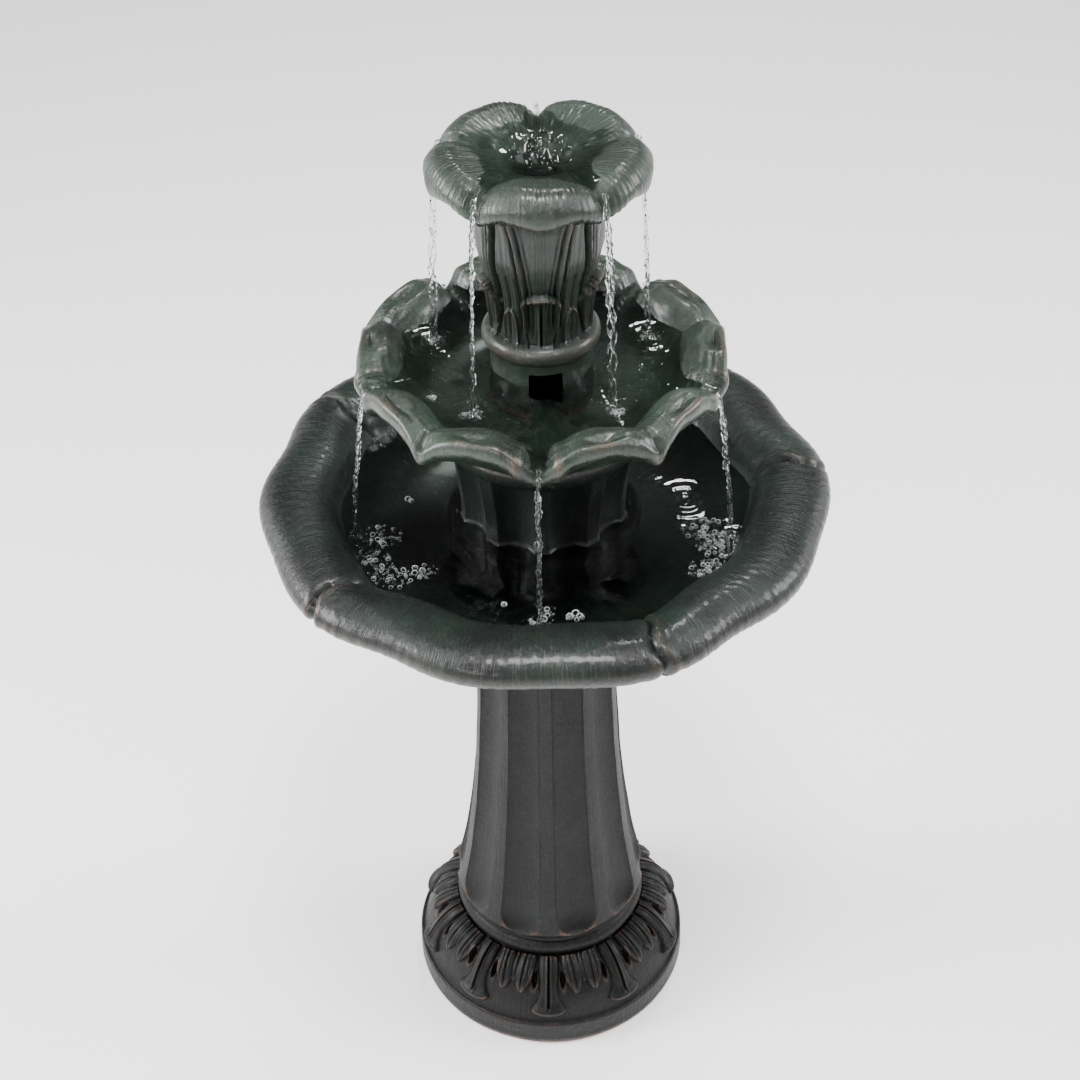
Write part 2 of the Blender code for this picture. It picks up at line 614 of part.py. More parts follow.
def build_pump(collection, cutters, shell, rubber):
    """Everything that the neck hides on the basin's floor."""
    potting = principled("epoxy_potting", (0.055, 0.050, 0.045), 0.45)
    magnet = principled("ferrite_magnet", (0.045, 0.043, 0.042), 0.55)
    ceramic = principled("ceramic_shaft", (0.78, 0.77, 0.73), 0.25)
    blue = principled("impeller_plastic", (0.12, 0.20, 0.34), 0.40)
    green = principled("dial_plastic", (0.10, 0.26, 0.20), 0.45)
    build_pump_housing(collection, cutters, shell)
    build_stator(collection, potting)
    build_rotor(collection, cutters, magnet, blue)
    build_shaft_and_bushes(collection, cutters, ceramic, rubber)
    build_volute_cover(collection, cutters, shell)
    build_strainer(collection, cutters, shell)
    build_flow_dial(collection, cutters, green)
    build_suction_cups(collection, rubber)
    build_round("cord_gland", 0.0050, 0.0080, PUMP_BACK + GAP, 16, collection, rubber)


# ---- Assembly -------------------------------------------------------------------------------


def main():
    clear_scene()
    parts = new_collection("tiered_fountain")
    cutters = new_collection("cutters")
    rubber = principled("black_rubber", RUBBER, 0.75)
    pump_shell = principled("pump_plastic", PUMP_BLACK, 0.45)
    vinyl = principled("clear_vinyl", (0.80, 0.86, 0.84), 0.15)
    build_pedestal(parts, principled("pedestal_resin", RESIN, 0.45, 0.25))
    build_basin(parts, cutters, principled("basin_resin", RESIN, 0.40, 0.25))
    build_cord_plug(parts, rubber)
    build_pump(parts, cutters, pump_shell, rubber)
    build_outlet_adapter(parts, pump_shell)
    build_riser_tube(parts, vinyl)
    build_neck(parts, cutters, principled("neck_resin", RESIN, 0.35, 0.25))
    build_middle_bowl(parts, principled("bowl_resin", RESIN, 0.35, 0.25))
    build_seal("bowl_seal", BOWL_BASE + 0.001, BOWL_FLOOR, BOWL_HOLE_RADIUS, parts, rubber)
    build_lily(parts, cutters, principled("lily_resin", RESIN, 0.35, 0.25))
    build_seal("lily_seal", 0.913, 0.924, LILY_BORE_RADIUS, parts, rubber)


main()
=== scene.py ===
"""Looks of the three-tier garden fountain: patinated bronze resin, with water running through it.

Every moulding is a fine skin, turned about the fountain's axis, shaped and then embossed along its
own normals. Metres, +Z up, origin at the centre of the plinth on the floor, and the front is -Y.
Angles round the fountain are in degrees from the front, towards +X.
"""
import json
import math

import bpy
import numpy as np
from mathutils import Matrix


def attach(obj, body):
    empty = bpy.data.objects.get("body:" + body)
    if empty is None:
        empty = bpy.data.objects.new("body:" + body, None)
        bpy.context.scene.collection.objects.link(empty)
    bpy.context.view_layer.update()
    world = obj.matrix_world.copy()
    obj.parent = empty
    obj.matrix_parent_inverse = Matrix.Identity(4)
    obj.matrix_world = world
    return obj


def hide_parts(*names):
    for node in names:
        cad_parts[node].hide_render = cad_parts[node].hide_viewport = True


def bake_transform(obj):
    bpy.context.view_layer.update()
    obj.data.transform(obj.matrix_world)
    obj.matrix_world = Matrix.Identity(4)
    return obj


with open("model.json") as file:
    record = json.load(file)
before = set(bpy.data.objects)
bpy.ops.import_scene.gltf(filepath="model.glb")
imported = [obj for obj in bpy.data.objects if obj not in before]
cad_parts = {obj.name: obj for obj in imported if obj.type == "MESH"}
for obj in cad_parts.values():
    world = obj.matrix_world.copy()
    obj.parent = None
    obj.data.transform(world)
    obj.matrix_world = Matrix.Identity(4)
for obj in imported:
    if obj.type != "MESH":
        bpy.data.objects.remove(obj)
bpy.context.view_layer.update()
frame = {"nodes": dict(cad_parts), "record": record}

# ---- Driving dimensions ----
PETALS = 5  # of the basin, the bowl and the lily
FLUTES = 10  # of the column and the neck; the foot has as many leaves
FIRST_FLUTE = 16.0  # the angle of one flute, leaf, seam or spout; the rest are evenly spaced
FIRST_LEAF = -2.0
BASIN_SEAM = 22.0
BOWL_SPOUT = -2.0
LILY_SPOUT = 36.0

PLINTH_TOP = 0.033  # heights on the pedestal
FOOT_RING_HEIGHT = 0.098
COLUMN_TOP = 0.528
BASIN_ROLL = (0.2225, 0.625)  # radius and height of the middle of the basin's rolled rim

BASIN_LEVEL = 0.614  # heights of the three pools
BOWL_LEVEL = 0.7675
LILY_LEVEL = 0.9652

LILY_STREAMS = (36.0, -36.0, 108.0, -108.0, 180.0)  # angles of the streams that leave each tier
BOWL_STREAMS = (-2.0, 70.0, -74.0, 142.0, -146.0)
LILY_LIP = 0.0835  # radii where the streams leave their tier
BOWL_LIP = 0.1535
BOWL_LANDING = 0.098  # radii where they land
BASIN_LANDING = 0.176
MIDWAY = 0.690  # height where the upper and lower halves of the bowl's streams meet
GRAVITY = 9.81


# ---- Curves, grids and meshes ----


def length_along(points):
    """The length of a curve up to each of its points."""
    return np.concatenate([[0.0], np.cumsum(np.linalg.norm(np.diff(points, axis=0), axis=1))])


def smooth_curve(points, count):
    """Evenly spaced points on a smooth curve through the given ones."""
    points = np.array(points, float)
    knots = length_along(points)
    slopes = np.gradient(points, knots, axis=0)
    where = np.linspace(0.0, knots[-1], 40 * len(points))
    left = np.clip(np.searchsorted(knots, where) - 1, 0, len(points) - 2)
    span = (knots[left + 1] - knots[left])[:, None]
    t = (where - knots[left])[:, None] / span
    dense = ((2 * t ** 3 - 3 * t ** 2 + 1) * points[left] + (t ** 3 - 2 * t ** 2 + t) * span * slopes[left]
             + (3 * t ** 2 - 2 * t ** 3) * points[left + 1] + (t ** 3 - t ** 2) * span * slopes[left + 1])
    length = length_along(dense)
    wanted = np.linspace(0.0, length[-1], count)
    return np.stack([np.interp(wanted, length, dense[:, axis]) for axis in range(points.shape[1])], 1)


def outline_of(*sections):
    """One outline from smooth sections, given as (points, count); they meet in crisp corners."""
    curves = [smooth_curve(points, count) for points, count in sections]
    joined = [curves[0]] + [curve[1:] for curve in curves[1:]]
    return np.concatenate(joined)


def arc(centre, half_width, half_height, start, end, count):
    """Points on an oval arc; degrees from outwards, towards up."""
    turn = np.radians(np.linspace(start, end, count))
    points = zip(centre[0] + half_width * np.cos(turn), centre[1] + half_height * np.sin(turn))
    return [(float(radius), float(height)) for radius, height in points]


def smooth_step(low, high, value):
    """Rise smoothly from 0 at low to 1 at high."""
    share = np.clip((value - low) / (high - low), 0.0, 1.0)
    return share * share * (3.0 - 2.0 * share)


def bump_at(value, centre, width):
    """A soft bump: 1 at the centre, and nearly gone two widths away."""
    return np.exp(-((value - centre) / width) ** 2)


def signed_offset(angle, first, count):
    """Offset from the nearest of count even features, from -1 to 1 halfway to the next one."""
    pitch = 360.0 / count
    return ((angle - first + pitch / 2) % pitch - pitch / 2) / (pitch / 2)


def ripple_noise(angle, along, seed, waves=9, fineness=6.0):
    """Slow, smooth unevenness in angle and height, from -1 to 1, which closes round the axis."""
    draws = np.random.default_rng(seed)
    total = np.zeros(np.broadcast(angle, along).shape)
    for _ in range(waves):
        turns = draws.integers(1, int(fineness) + 1)
        rate = draws.uniform(-1.0, 1.0) * fineness * 12.0
        total += np.cos(np.radians(turns * angle) + rate * along + draws.uniform(0.0, 6.28))
    return total / math.sqrt(waves) / 1.5


def fine_ribs(angle, slant, seed, count, fewest, most):
    """Many fine ribs round the axis, added up; slant is how far one can lean, in radians."""
    draws = np.random.default_rng(seed)
    total = np.zeros(np.broadcast(angle, slant).shape)
    for _ in range(count):
        turns = draws.integers(fewest, most)
        total += np.cos(np.radians(turns * angle) + draws.uniform(0.0, 6.28)
                        + draws.uniform(-1.0, 1.0) * slant)
    return total


def to_points(angle, radius, height):
    """Positions of a grid: rows run along the outline, and columns run round the axis."""
    turn = np.radians(angle)
    return np.stack([radius * np.sin(turn), -radius * np.cos(turn), height + 0.0 * turn], -1)


def grid_normals(points):
    """Unit normals of a grid whose columns close round the axis, pointing outwards."""
    along = np.gradient(points, axis=0)
    around = np.roll(points, -1, 1) - np.roll(points, 1, 1)
    normals = np.cross(around, along)
    return -normals / np.maximum(np.linalg.norm(normals, axis=-1, keepdims=True), 1e-12)


def convexity(points, normals, reach):
    """How far a surface stands proud of its surroundings, reach cells away: + on edges, - in hollows."""
    rows = len(points)
    up = points[np.clip(np.arange(rows) + reach, 0, rows - 1)]
    down = points[np.clip(np.arange(rows) - reach, 0, rows - 1)]
    left = np.roll(points, -reach, 1)
    right = np.roll(points, reach, 1)
    bulge = ((points - (up + down) / 2 + points - (right + left) / 2) * normals).sum(-1)
    size = np.linalg.norm(up - down, axis=-1) + np.linalg.norm(right - left, axis=-1)
    return bulge / np.maximum(size, 1e-6)


def mesh_piece(name, points, faces, material, sharpness=50.0):
    """A smooth-shaded object from points and faces."""
    mesh = bpy.data.meshes.new(name)
    mesh.from_pydata(points.reshape(-1, 3).tolist(), [], faces)
    mesh.materials.append(material)
    mesh.shade_smooth()
    mesh.set_sharp_from_angle(angle=math.radians(sharpness))
    piece = bpy.data.objects.new(name, mesh)
    bpy.context.scene.collection.objects.link(piece)
    return piece


def grid_faces(rows, columns):
    """Quads of a grid that closes round the axis."""
    row = np.arange(rows - 1)[:, None] * columns
    column = np.arange(columns)[None, :]
    right = (column + 1) % columns
    quads = np.stack(np.broadcast_arrays(
        row + column, row + columns + column, row + columns + right, row + right), -1)
    return quads.reshape(-1, 4).tolist()


def skin(name, outline, columns, shape, relief, material, window=None):
    """A turned moulding. shape(angle, radius, height) moves it, and relief embosses its surface.

    Its wear attribute is 1 on raised edges, and its darkening attribute is 1 in hollows, which the
    material turns near black; painted shade on the vase is added to it later. window says which of
    its points lie in an opening.
    """
    angle = np.arange(columns)[None, :] * 360.0 / columns
    radius = outline[:, 0:1] + 0.0 * angle
    height = outline[:, 1:2] + 0.0 * angle
    radius, height = shape(angle, radius, height)
    points = to_points(angle, radius, height)
    normals = grid_normals(points)
    points = points + relief(angle, outline[:, 0:1], outline[:, 1:2])[..., None] * normals
    normals = grid_normals(points)
    faces = grid_faces(len(outline), columns)
    if window is not None:
        inside = window(points).ravel()
        faces = [face for face in faces if not inside[face].all()]
    piece = mesh_piece(name, points, faces, material)
    fine = convexity(points, normals, 1)
    broad = convexity(points, normals, 4)
    wear = np.clip(fine * 1.6 + broad * 2.0 - 0.10, 0.0, 1.0)
    # How deep each point lies in a hollow; the material turns it near black, and painted shade is added to
    # it later.
    hollow_dark_and_shade = np.clip(-fine * 2.5 - broad * 2.6, 0.0, 1.0)
    for key, values in (("wear", wear), ("hollow_dark_and_shade", hollow_dark_and_shade)):
        attribute = piece.data.attributes.new(key, "FLOAT", "POINT")
        attribute.data.foreach_set("value", values.astype(np.float32).ravel())
    return piece, points


def darken(piece, amount):
    """Add painted shade to a skin's near-black darkening attribute, point by point."""
    data = piece.data.attributes["hollow_dark_and_shade"].data
    hollow_dark_and_shade = np.zeros(len(data), dtype=np.float32)
    data.foreach_get("value", hollow_dark_and_shade)
    data.foreach_set("value", np.clip(hollow_dark_and_shade + amount.ravel(), 0.0, 1.0).astype(np.float32))


def no_shape(angle, radius, height):
    """Leave a turned shape as it is."""
    return radius, height


# ---- Materials ----


class Nodes:
    """Short names for building a node tree."""

    def __init__(self, tree):
        self.tree = tree

    def add(self, kind, inputs=None, **settings):
        """A new node; its inputs are linked or set."""
        node = self.tree.nodes.new(kind)
        for key, value in settings.items():
            setattr(node, key, value)
        for key, value in (inputs or {}).items():
            self.feed(node.inputs[key], value)
        return node

    def feed(self, socket, value):
        """Link an output to a socket, or set its value."""
        if isinstance(value, bpy.types.NodeSocket):
            self.tree.links.new(value, socket)
        else:
            socket.default_value = value

    def maths(self, operation, first, second=0.0, third=0.0):
        """The result of a sum."""
        node = self.add("ShaderNodeMath", {0: first, 1: second, 2: third}, operation=operation)
        return node.outputs[0]

    def times(self, first, second):
        """A product."""
        return self.maths("MULTIPLY", first, second)

    def clamped(self, value, low, high):
        """Map a value from low-high to 0-1, and clamp it."""
        node = self.add("ShaderNodeMapRange", {"Value": value, "From Min": low, "From Max": high})
        return node.outputs["Result"]

    def spread(self, value, low, high):
        """Map a value from 0-1 to low-high."""
        node = self.add("ShaderNodeMapRange", {"Value": value, "To Min": low, "To Max": high})
        return node.outputs["Result"]

    def eased(self, value, low, high, start, end):
        """Ease from start to end while a value goes from low to high."""
        node = self.add("ShaderNodeMapRange", {"Value": value, "From Min": low, "From Max": high,
                                               "To Min": start, "To Max": end},
                        interpolation_type="SMOOTHSTEP")
        return node.outputs["Result"]

    def blend(self, factor, first, second):
        """Mix two colours."""
        node = self.add("ShaderNodeMix", data_type="RGBA")
        self.feed(node.inputs[0], factor)
        for socket, colour in ((node.inputs[6], first), (node.inputs[7], second)):
            self.feed(socket, colour if isinstance(colour, bpy.types.NodeSocket) else (*colour, 1.0))
        return node.outputs[2]

    def noise(self, vector, scale, detail=4.0, roughness=0.55):
        """Cloudy noise, from 0 to 1."""
        node = self.add("ShaderNodeTexNoise", {"Vector": vector, "Scale": scale, "Detail": detail,
                                               "Roughness": roughness})
        return node.outputs["Fac"]

    def attribute(self, name):
        """A value stored at the points of the mesh."""
        return self.add("ShaderNodeAttribute", attribute_name=name).outputs["Fac"]

    def position(self):
        """Where a point is on its own piece."""
        return self.add("ShaderNodeTexCoord").outputs["Object"]

    def bump(self, height, strength, distance, normal=None):
        """A normal tilted by a height, on top of another one if it is given."""
        node = self.add("ShaderNodeBump", {"Height": height, "Strength": strength, "Distance": distance})
        if normal is not None:
            self.feed(node.inputs["Normal"], normal)
        return node.outputs["Normal"]

    def radial(self, ribs, length_scale):
        """A vector that changes fast round the axis and slowly along the surface: it draws ribs."""
        split = self.add("ShaderNodeSeparateXYZ", {0: self.position()})
        x, y, z = split.outputs
        flat = self.add("ShaderNodeCombineXYZ", {0: x, 1: y, 2: 0.0}).outputs[0]
        unit = self.add("ShaderNodeVectorMath", {0: flat}, operation="NORMALIZE").outputs[0]
        ux, uy, _ = self.add("ShaderNodeSeparateXYZ", {0: unit}).outputs
        along = self.maths("ADD", z, self.add("ShaderNodeVectorMath", {0: flat},
                                              operation="LENGTH").outputs["Value"])
        return self.add("ShaderNodeCombineXYZ", {
            0: self.times(ux, ribs), 1: self.times(uy, ribs),
            2: self.times(along, length_scale)}).outputs[0]


class MaterialNodes(Nodes):
    """The node tree of one material."""

    def __init__(self, name):
        self.material = bpy.data.materials.new(name)
        self.material.use_nodes = True
        super().__init__(self.material.node_tree)
        self.shader = self.tree.nodes["Principled BSDF"]

    def finish(self, **values):
        """Set the shader's own sockets; underscores stand for spaces."""
        for key, value in values.items():
            self.feed(self.shader.inputs[key.replace("_", " ")], value)
        return self.material

    def see_through(self, tint, solid):
        """Let what is behind show through, by how little of the surface is solid."""
        clear = self.add("ShaderNodeBsdfTransparent", {"Color": tint}).outputs[0]
        both = self.add("ShaderNodeMixShader", {0: solid, 1: clear, 2: self.shader.outputs[0]})
        self.feed(self.tree.nodes["Material Output"].inputs["Surface"], both.outputs[0])


WORN_COPPER = (0.370, 0.205, 0.155)
GREY_SPECKLE = (0.034, 0.042, 0.036)
# Near black for hollows, and for the painted shade on the vase under the lily's petals.
NEAR_BLACK_HOLLOW_AND_SHADE = (0.003, 0.004, 0.0035)


def patina(name, green, ribs, wetness, dark, tint):
    """Bronze-coloured resin: near-black, mottled green, rubbed to copper on its raised edges.

    green is how much of it is green, ribs how fine its brushed ribs are, and wetness how glossy it is.
    """
    nodes = MaterialNodes(name)
    place = nodes.position()
    clouds = nodes.clamped(nodes.noise(place, 14.0, 5.0, 0.62), 0.58 - green * 0.30, 0.86 - green * 0.30)
    speckle = nodes.noise(place, 420.0, 3.0, 0.6)
    blotch = nodes.clamped(nodes.noise(place, 48.0, 5.0, 0.65), 0.38, 0.70)
    brushed = nodes.noise(nodes.radial(ribs, 14.0), 1.0, 3.0, 0.55)
    streaks = nodes.noise(nodes.radial(ribs * 2.6, 30.0), 1.0, 2.0, 0.6)
    wear = nodes.attribute("wear")
    hollow_dark_and_shade = nodes.attribute("hollow_dark_and_shade")
    worn = nodes.maths("ADD", nodes.times(wear, 0.80 + 0.15 * wetness),
                       nodes.times(nodes.clamped(streaks, 0.52, 0.72), 0.03 + 0.24 * wetness))
    worn = nodes.times(nodes.clamped(worn, 0.14, 1.10), nodes.spread(blotch, 0.15, 1.0))
    base = nodes.blend(clouds, dark, tint)
    base = nodes.blend(nodes.times(nodes.clamped(speckle, 0.54, 0.76), 0.25), base,
                       GREY_SPECKLE)
    base = nodes.blend(worn, base, WORN_COPPER)
    # The darkening attribute turns hollows near black and paints shade on the vase under the lily's
    # petals; it also adds roughness and takes off metal below.
    base = nodes.blend(nodes.times(hollow_dark_and_shade, 0.85), base, NEAR_BLACK_HOLLOW_AND_SHADE)
    grain = nodes.noise(place, 260.0, 4.0, 0.62)
    rough = nodes.maths("ADD", nodes.spread(grain, 0.40 - 0.20 * wetness, 0.58 - 0.24 * wetness),
                        nodes.times(hollow_dark_and_shade, 0.15))
    normal = nodes.bump(brushed, 0.45, 0.0010)
    normal = nodes.bump(streaks, 0.75, 0.0011, normal)
    normal = nodes.bump(grain, 0.55, 0.0012, normal)
    normal = nodes.bump(nodes.noise(place, 85.0, 3.0, 0.5), 0.40, 0.0022, normal)
    # Less metal in hollows and under the painted shade.
    clear_of_hollow_dark_and_shade = nodes.spread(hollow_dark_and_shade, 1.0, 0.25)
    metal = nodes.times(worn, nodes.times(clear_of_hollow_dark_and_shade, 0.80))
    return nodes.finish(Base_Color=base, Roughness=rough, Metallic=metal, Normal=normal,
                        Coat_Weight=0.30 * wetness, Coat_Roughness=0.16,
                        Specular_IOR_Level=0.18 + 0.30 * wetness)


def moulded_plastic(name, low, high, roughness):
    """Injection-moulded plastic or rubber: a fine grain and faint flow marks."""
    nodes = MaterialNodes(name)
    place = nodes.position()
    flow = nodes.noise(place, 60.0, 3.0)
    grain = nodes.noise(place, 1400.0, 2.0)
    colour = nodes.blend(nodes.clamped(flow, 0.3, 0.7), low, high)
    rough = nodes.spread(grain, roughness - 0.08, roughness + 0.08)
    return nodes.finish(Base_Color=colour, Roughness=rough, Normal=nodes.bump(grain, 0.25, 0.0003))


def clear_vinyl():
    """Clear tube, faintly clouded."""
    nodes = MaterialNodes("clear_vinyl")
    cloud = nodes.noise(nodes.position(), 130.0, 3.0)
    return nodes.finish(Base_Color=nodes.blend(cloud, (0.78, 0.84, 0.82), (0.90, 0.93, 0.92)),
                        Roughness=nodes.spread(cloud, 0.12, 0.24), Transmission_Weight=1.0, IOR=1.43)


def water(name, tint, wave_scale, wave_height):
    """Clear water with small waves."""
    nodes = MaterialNodes(name)
    place = nodes.position()
    waves = nodes.noise(place, wave_scale, 3.0, 0.5)
    fine = nodes.noise(place, wave_scale * 3.2, 2.0, 0.5)
    normal = nodes.bump(fine, 0.20, wave_height * 0.4, nodes.bump(waves, 0.5, wave_height))
    return nodes.finish(Base_Color=nodes.blend(waves, tint, (0.93, 0.97, 0.95)), Roughness=0.02,
                        Transmission_Weight=1.0, IOR=1.333, Normal=normal)


def pool_surface(name, wave_scale, wave_height):
    """The top of a clear pool: it mirrors a little and lets the light through to the floor below."""
    nodes = MaterialNodes(name)
    place = nodes.position()
    waves = nodes.noise(place, wave_scale, 3.0, 0.5)
    normal = nodes.bump(waves, 0.5, wave_height)
    gloss = nodes.add("ShaderNodeFresnel", {"IOR": 1.55, "Normal": normal}).outputs[0]
    nodes.finish(Base_Color=(0.95, 0.97, 0.96, 1.0), Metallic=1.0, Roughness=0.03, Normal=normal)
    nodes.see_through((0.84, 0.91, 0.87, 1.0), gloss)
    return nodes.material


def froth():
    """Fine bubbles: clear in their middle, with a bright film round them."""
    nodes = MaterialNodes("froth")
    film = nodes.noise(nodes.position(), 900.0, 2.0, 0.5)
    edge = nodes.add("ShaderNodeLayerWeight", {"Blend": 0.42}).outputs["Facing"]
    solid = nodes.times(nodes.clamped(edge, 0.18, 0.85), nodes.spread(film, 0.80, 1.0))
    nodes.finish(Base_Color=nodes.blend(film, (0.78, 0.82, 0.80), (0.95, 0.97, 0.97)), Roughness=0.15,
                 Normal=nodes.bump(film, 0.4, 0.0004))
    nodes.see_through((0.96, 0.98, 0.97, 1.0), solid)
    return nodes.material


# ---- Pedestal ----


def column_radius(height):
    """The column tapers from its flared foot, and opens a little again under the basin."""
    return 0.062 + 0.0355 * np.exp((0.127 - height) / 0.165) + 0.010 * np.exp((height - COLUMN_TOP) / 0.03)


def flute_relief(angle, radius, height):
    """Round-ended flutes with flats between them, and a faintly uneven cast surface."""
    across = signed_offset(angle, FIRST_FLUTE, FLUTES) / 0.74
    below = np.clip((FOOT_RING_HEIGHT + 0.046 - height) / 0.026, 0.0, 1.0)
    above = np.clip((height - COLUMN_TOP + 0.045) / 0.030, 0.0, 1.0)
    inside = np.clip(1.0 - across ** 2 - below ** 2 - above ** 2, 0.0, 1.0)
    outer = radius > column_radius(height) - 0.004
    uneven = 0.0004 * ripple_noise(angle, height, 3, 12, 9.0)
    groove = 0.0060 * smooth_step(0.124, 0.113, height)
    return (uneven - 0.0092 * inside ** 0.65 - groove) * outer


def build_column(material):
    """The fluted shaft, from the foot's ring to its open top, with its bore."""
    heights = np.linspace(COLUMN_TOP - 0.004, 0.112, 9)
    outer = [(float(column_radius(height)), float(height)) for height in heights]
    outline = outline_of(
        ([(0.0635, 0.478), (0.0635, 0.505), (0.0635, COLUMN_TOP - 0.001)], 6),
        ([(0.0635, COLUMN_TOP - 0.001), (0.0645, COLUMN_TOP), (0.071, COLUMN_TOP),
          (0.0719, COLUMN_TOP - 0.002), outer[0]], 9),
        (outer, 150))
    return skin("pedestal_column", outline, 540, no_shape, flute_relief, material)[0]


def rounded(across, half_width, along, start, end):
    """A long lobe's cross-section: 1 on its middle line, 0 at its sides and at its round end."""
    past = np.clip((along - start) / (end - start), 0.0, 1.0)
    return np.sqrt(np.clip(1.0 - (across / half_width) ** 2 - past ** 2, 0.0, 1.0))


def leaf_relief(across, along):
    """Height of one acanthus leaf. across is 0 at its rib and 1 halfway to the next leaf, along runs
    from 0 under the ring to 1 at the plinth's edge."""
    width = 0.285 - 0.075 * bump_at(along, 0.46, 0.15) + 0.145 * bump_at(along, 0.80, 0.10)
    tongue = rounded(across, width, along, 0.78, 0.90)
    ribs = bump_at(across, 0.055, 0.022) - 1.2 * bump_at(across, 0.0, 0.020)
    ribs = ribs * smooth_step(0.80, 0.70, along)
    curl = 0.0040 * bump_at(along, 0.815, 0.075)
    tongue_height = (tongue > 0.0) * 0.0016 + tongue * (0.0030 + 0.0016 * ribs + curl)
    centre = 0.66 + 0.08 * np.clip(along / 0.5, 0.0, 1.0)
    lobe = rounded(across - centre, 0.265 - 0.10 * smooth_step(0.25, 0.55, along), along, 0.34, 0.57)
    veins = bump_at(across, centre + 0.03, 0.026) + 0.7 * bump_at(across, centre - 0.11, 0.022)
    lobe_height = (lobe > 0.0) * 0.0016 + lobe * (0.0040 - 0.0020 * veins)
    edge = rounded(across - 1.0, 0.16, along, 0.22, 0.42)
    edge_height = edge * (0.0046 - 0.0020 * bump_at(across, 0.93, 0.030))
    eye = np.sqrt(((across - 0.395) / 0.062) ** 2 + ((along - 0.36) / 0.105) ** 2)
    eyelet = 0.0062 * np.exp(-eye ** 4) - 0.0012 * bump_at(eye, 1.5, 0.35)
    return np.maximum.reduce([tongue_height, lobe_height, edge_height]) - eyelet


def build_foot(material):
    """Ring, leafy dome and plinth disc."""
    ring = arc((0.0885, FOOT_RING_HEIGHT), 0.0100, 0.0100, 100.0, -62.0, 12)
    dome = [(0.0930, 0.0885), (0.1050, 0.0835), (0.1180, 0.0725), (0.1280, 0.0570), (0.1345, 0.0420),
            (0.1375, PLINTH_TOP + 0.0010)]
    first_row = 38
    leaf_rows = 84
    outline = outline_of(
        ([(0.0925, 0.118), (0.0915, 0.112), (0.0900, 0.1080), ring[0]], 10),
        (ring, 26), ([ring[-1], dome[0]], 3), (dome, leaf_rows),
        ([dome[-1], (0.1382, PLINTH_TOP + 0.0002), (0.1405, PLINTH_TOP - 0.0002),
          (0.1420, PLINTH_TOP - 0.0022)], 8),
        ([(0.1420, PLINTH_TOP - 0.0022), (0.1421, 0.016), (0.1416, 0.0036), (0.1400, 0.0006)], 14),
        ([(0.1400, 0.0006), (0.120, 0.0003)], 3))
    along = np.clip((np.arange(len(outline)) - first_row) / leaf_rows, 0.0, 1.0)[:, None]

    def relief(angle, radius, height):
        """Leaves between the ring and the plinth."""
        across = np.abs(signed_offset(angle, FIRST_LEAF, FLUTES))
        shown = ((along > 0.0) & (along < 1.0)) * 1.0
        fade = smooth_step(0.0, 0.05, along) * smooth_step(1.0, 0.95, along)
        uneven = 0.0004 * ripple_noise(angle, height, 5, 12, 9.0)
        return uneven + leaf_relief(across, along) * shown * fade

    return skin("pedestal_foot", outline, 900, no_shape, relief, material)[0]


# ---- Lower basin ----


def basin_shape(angle, radius, height):
    """Push the rolled rim out to a corner at each seam between petals, and draw it in beside it."""
    share = smooth_step(0.150, 0.210, radius)
    offset = signed_offset(angle + seam_bend(radius), BASIN_SEAM, PETALS)
    pinch = 0.10 * bump_at(offset, 0.0, 0.16) + 0.06 * bump_at(offset, 0.0, 0.055)
    corner = 0.0055 * bump_at(offset, 0.0, 0.22)
    waist = 0.0075 * bump_at(offset, 0.5, 0.25) + 0.0045 * bump_at(offset, -0.6, 0.25)
    uneven = 0.0012 * ripple_noise(angle, radius, 7, 10, 7.0)
    new_radius = radius + share * ((BASIN_ROLL[0] - radius) * pinch + corner - waist + 0.6 * uneven)
    return new_radius, height + share * ((BASIN_ROLL[1] - height) * pinch + uneven)


def seam_bend(radius):
    """How far a seam has turned, in degrees, where it crosses the roll at this radius."""
    return 1.6 * np.sin((radius - 0.215) / 0.013) * smooth_step(0.150, 0.210, radius)


def basin_relief(angle, radius, height):
    """A groove with a raised lip at each seam, and ribs across the roll."""
    share = smooth_step(0.176, 0.196, radius) * smooth_step(0.596, 0.610, height)
    offset = signed_offset(angle + seam_bend(radius), BASIN_SEAM, PETALS)
    groove = -0.0032 * bump_at(offset, 0.0, 0.014)
    lips = 0.0020 * bump_at(offset, 0.046, 0.026) + 0.0014 * bump_at(offset, -0.050, 0.030)
    ribs = fine_ribs(angle, 600.0 * (radius - 0.22), 21, 26, 90, 210)
    return share * (groove + lips + 0.000045 * ribs)


def build_basin(material):
    """The wide basin with its rolled rim of five petals."""
    roll = arc(BASIN_ROLL, 0.0325, 0.0200, 158.0, -75.0, 16)
    inside = [(0.0005, 0.575), (0.050, 0.575), (0.090, 0.5755), (0.122, 0.5790), (0.150, 0.5880),
              (0.170, 0.6000), (0.183, 0.6150)]
    outline = outline_of(
        (inside + roll + [(0.200, 0.589), (0.160, 0.571), (0.115, 0.553), (0.089, 0.541),
                          (0.083, 0.5300)], 165),
        ([(0.083, 0.5300), (0.082, 0.5284), (0.0615, 0.5283)], 6),
        ([(0.0615, 0.5283), (0.0600, 0.5270), (0.0595, 0.5130), (0.0535, 0.5125)], 8))
    return skin("basin_petals", outline, 560, basin_shape, basin_relief, material)


# ---- Neck ----


def neck_relief(angle, radius, height):
    """Wide flutes with flat edges round the neck."""
    across = signed_offset(angle, FIRST_FLUTE, FLUTES) / 0.72
    inside = np.clip(1.0 - across ** 2, 0.0, 1.0)
    zone = smooth_step(0.6125, 0.6165, height) * smooth_step(0.6905, 0.6870, height) * (radius > 0.071)
    return -0.0092 * inside ** 0.75 * zone + 0.0003 * ripple_noise(angle, height, 9, 10, 9.0)


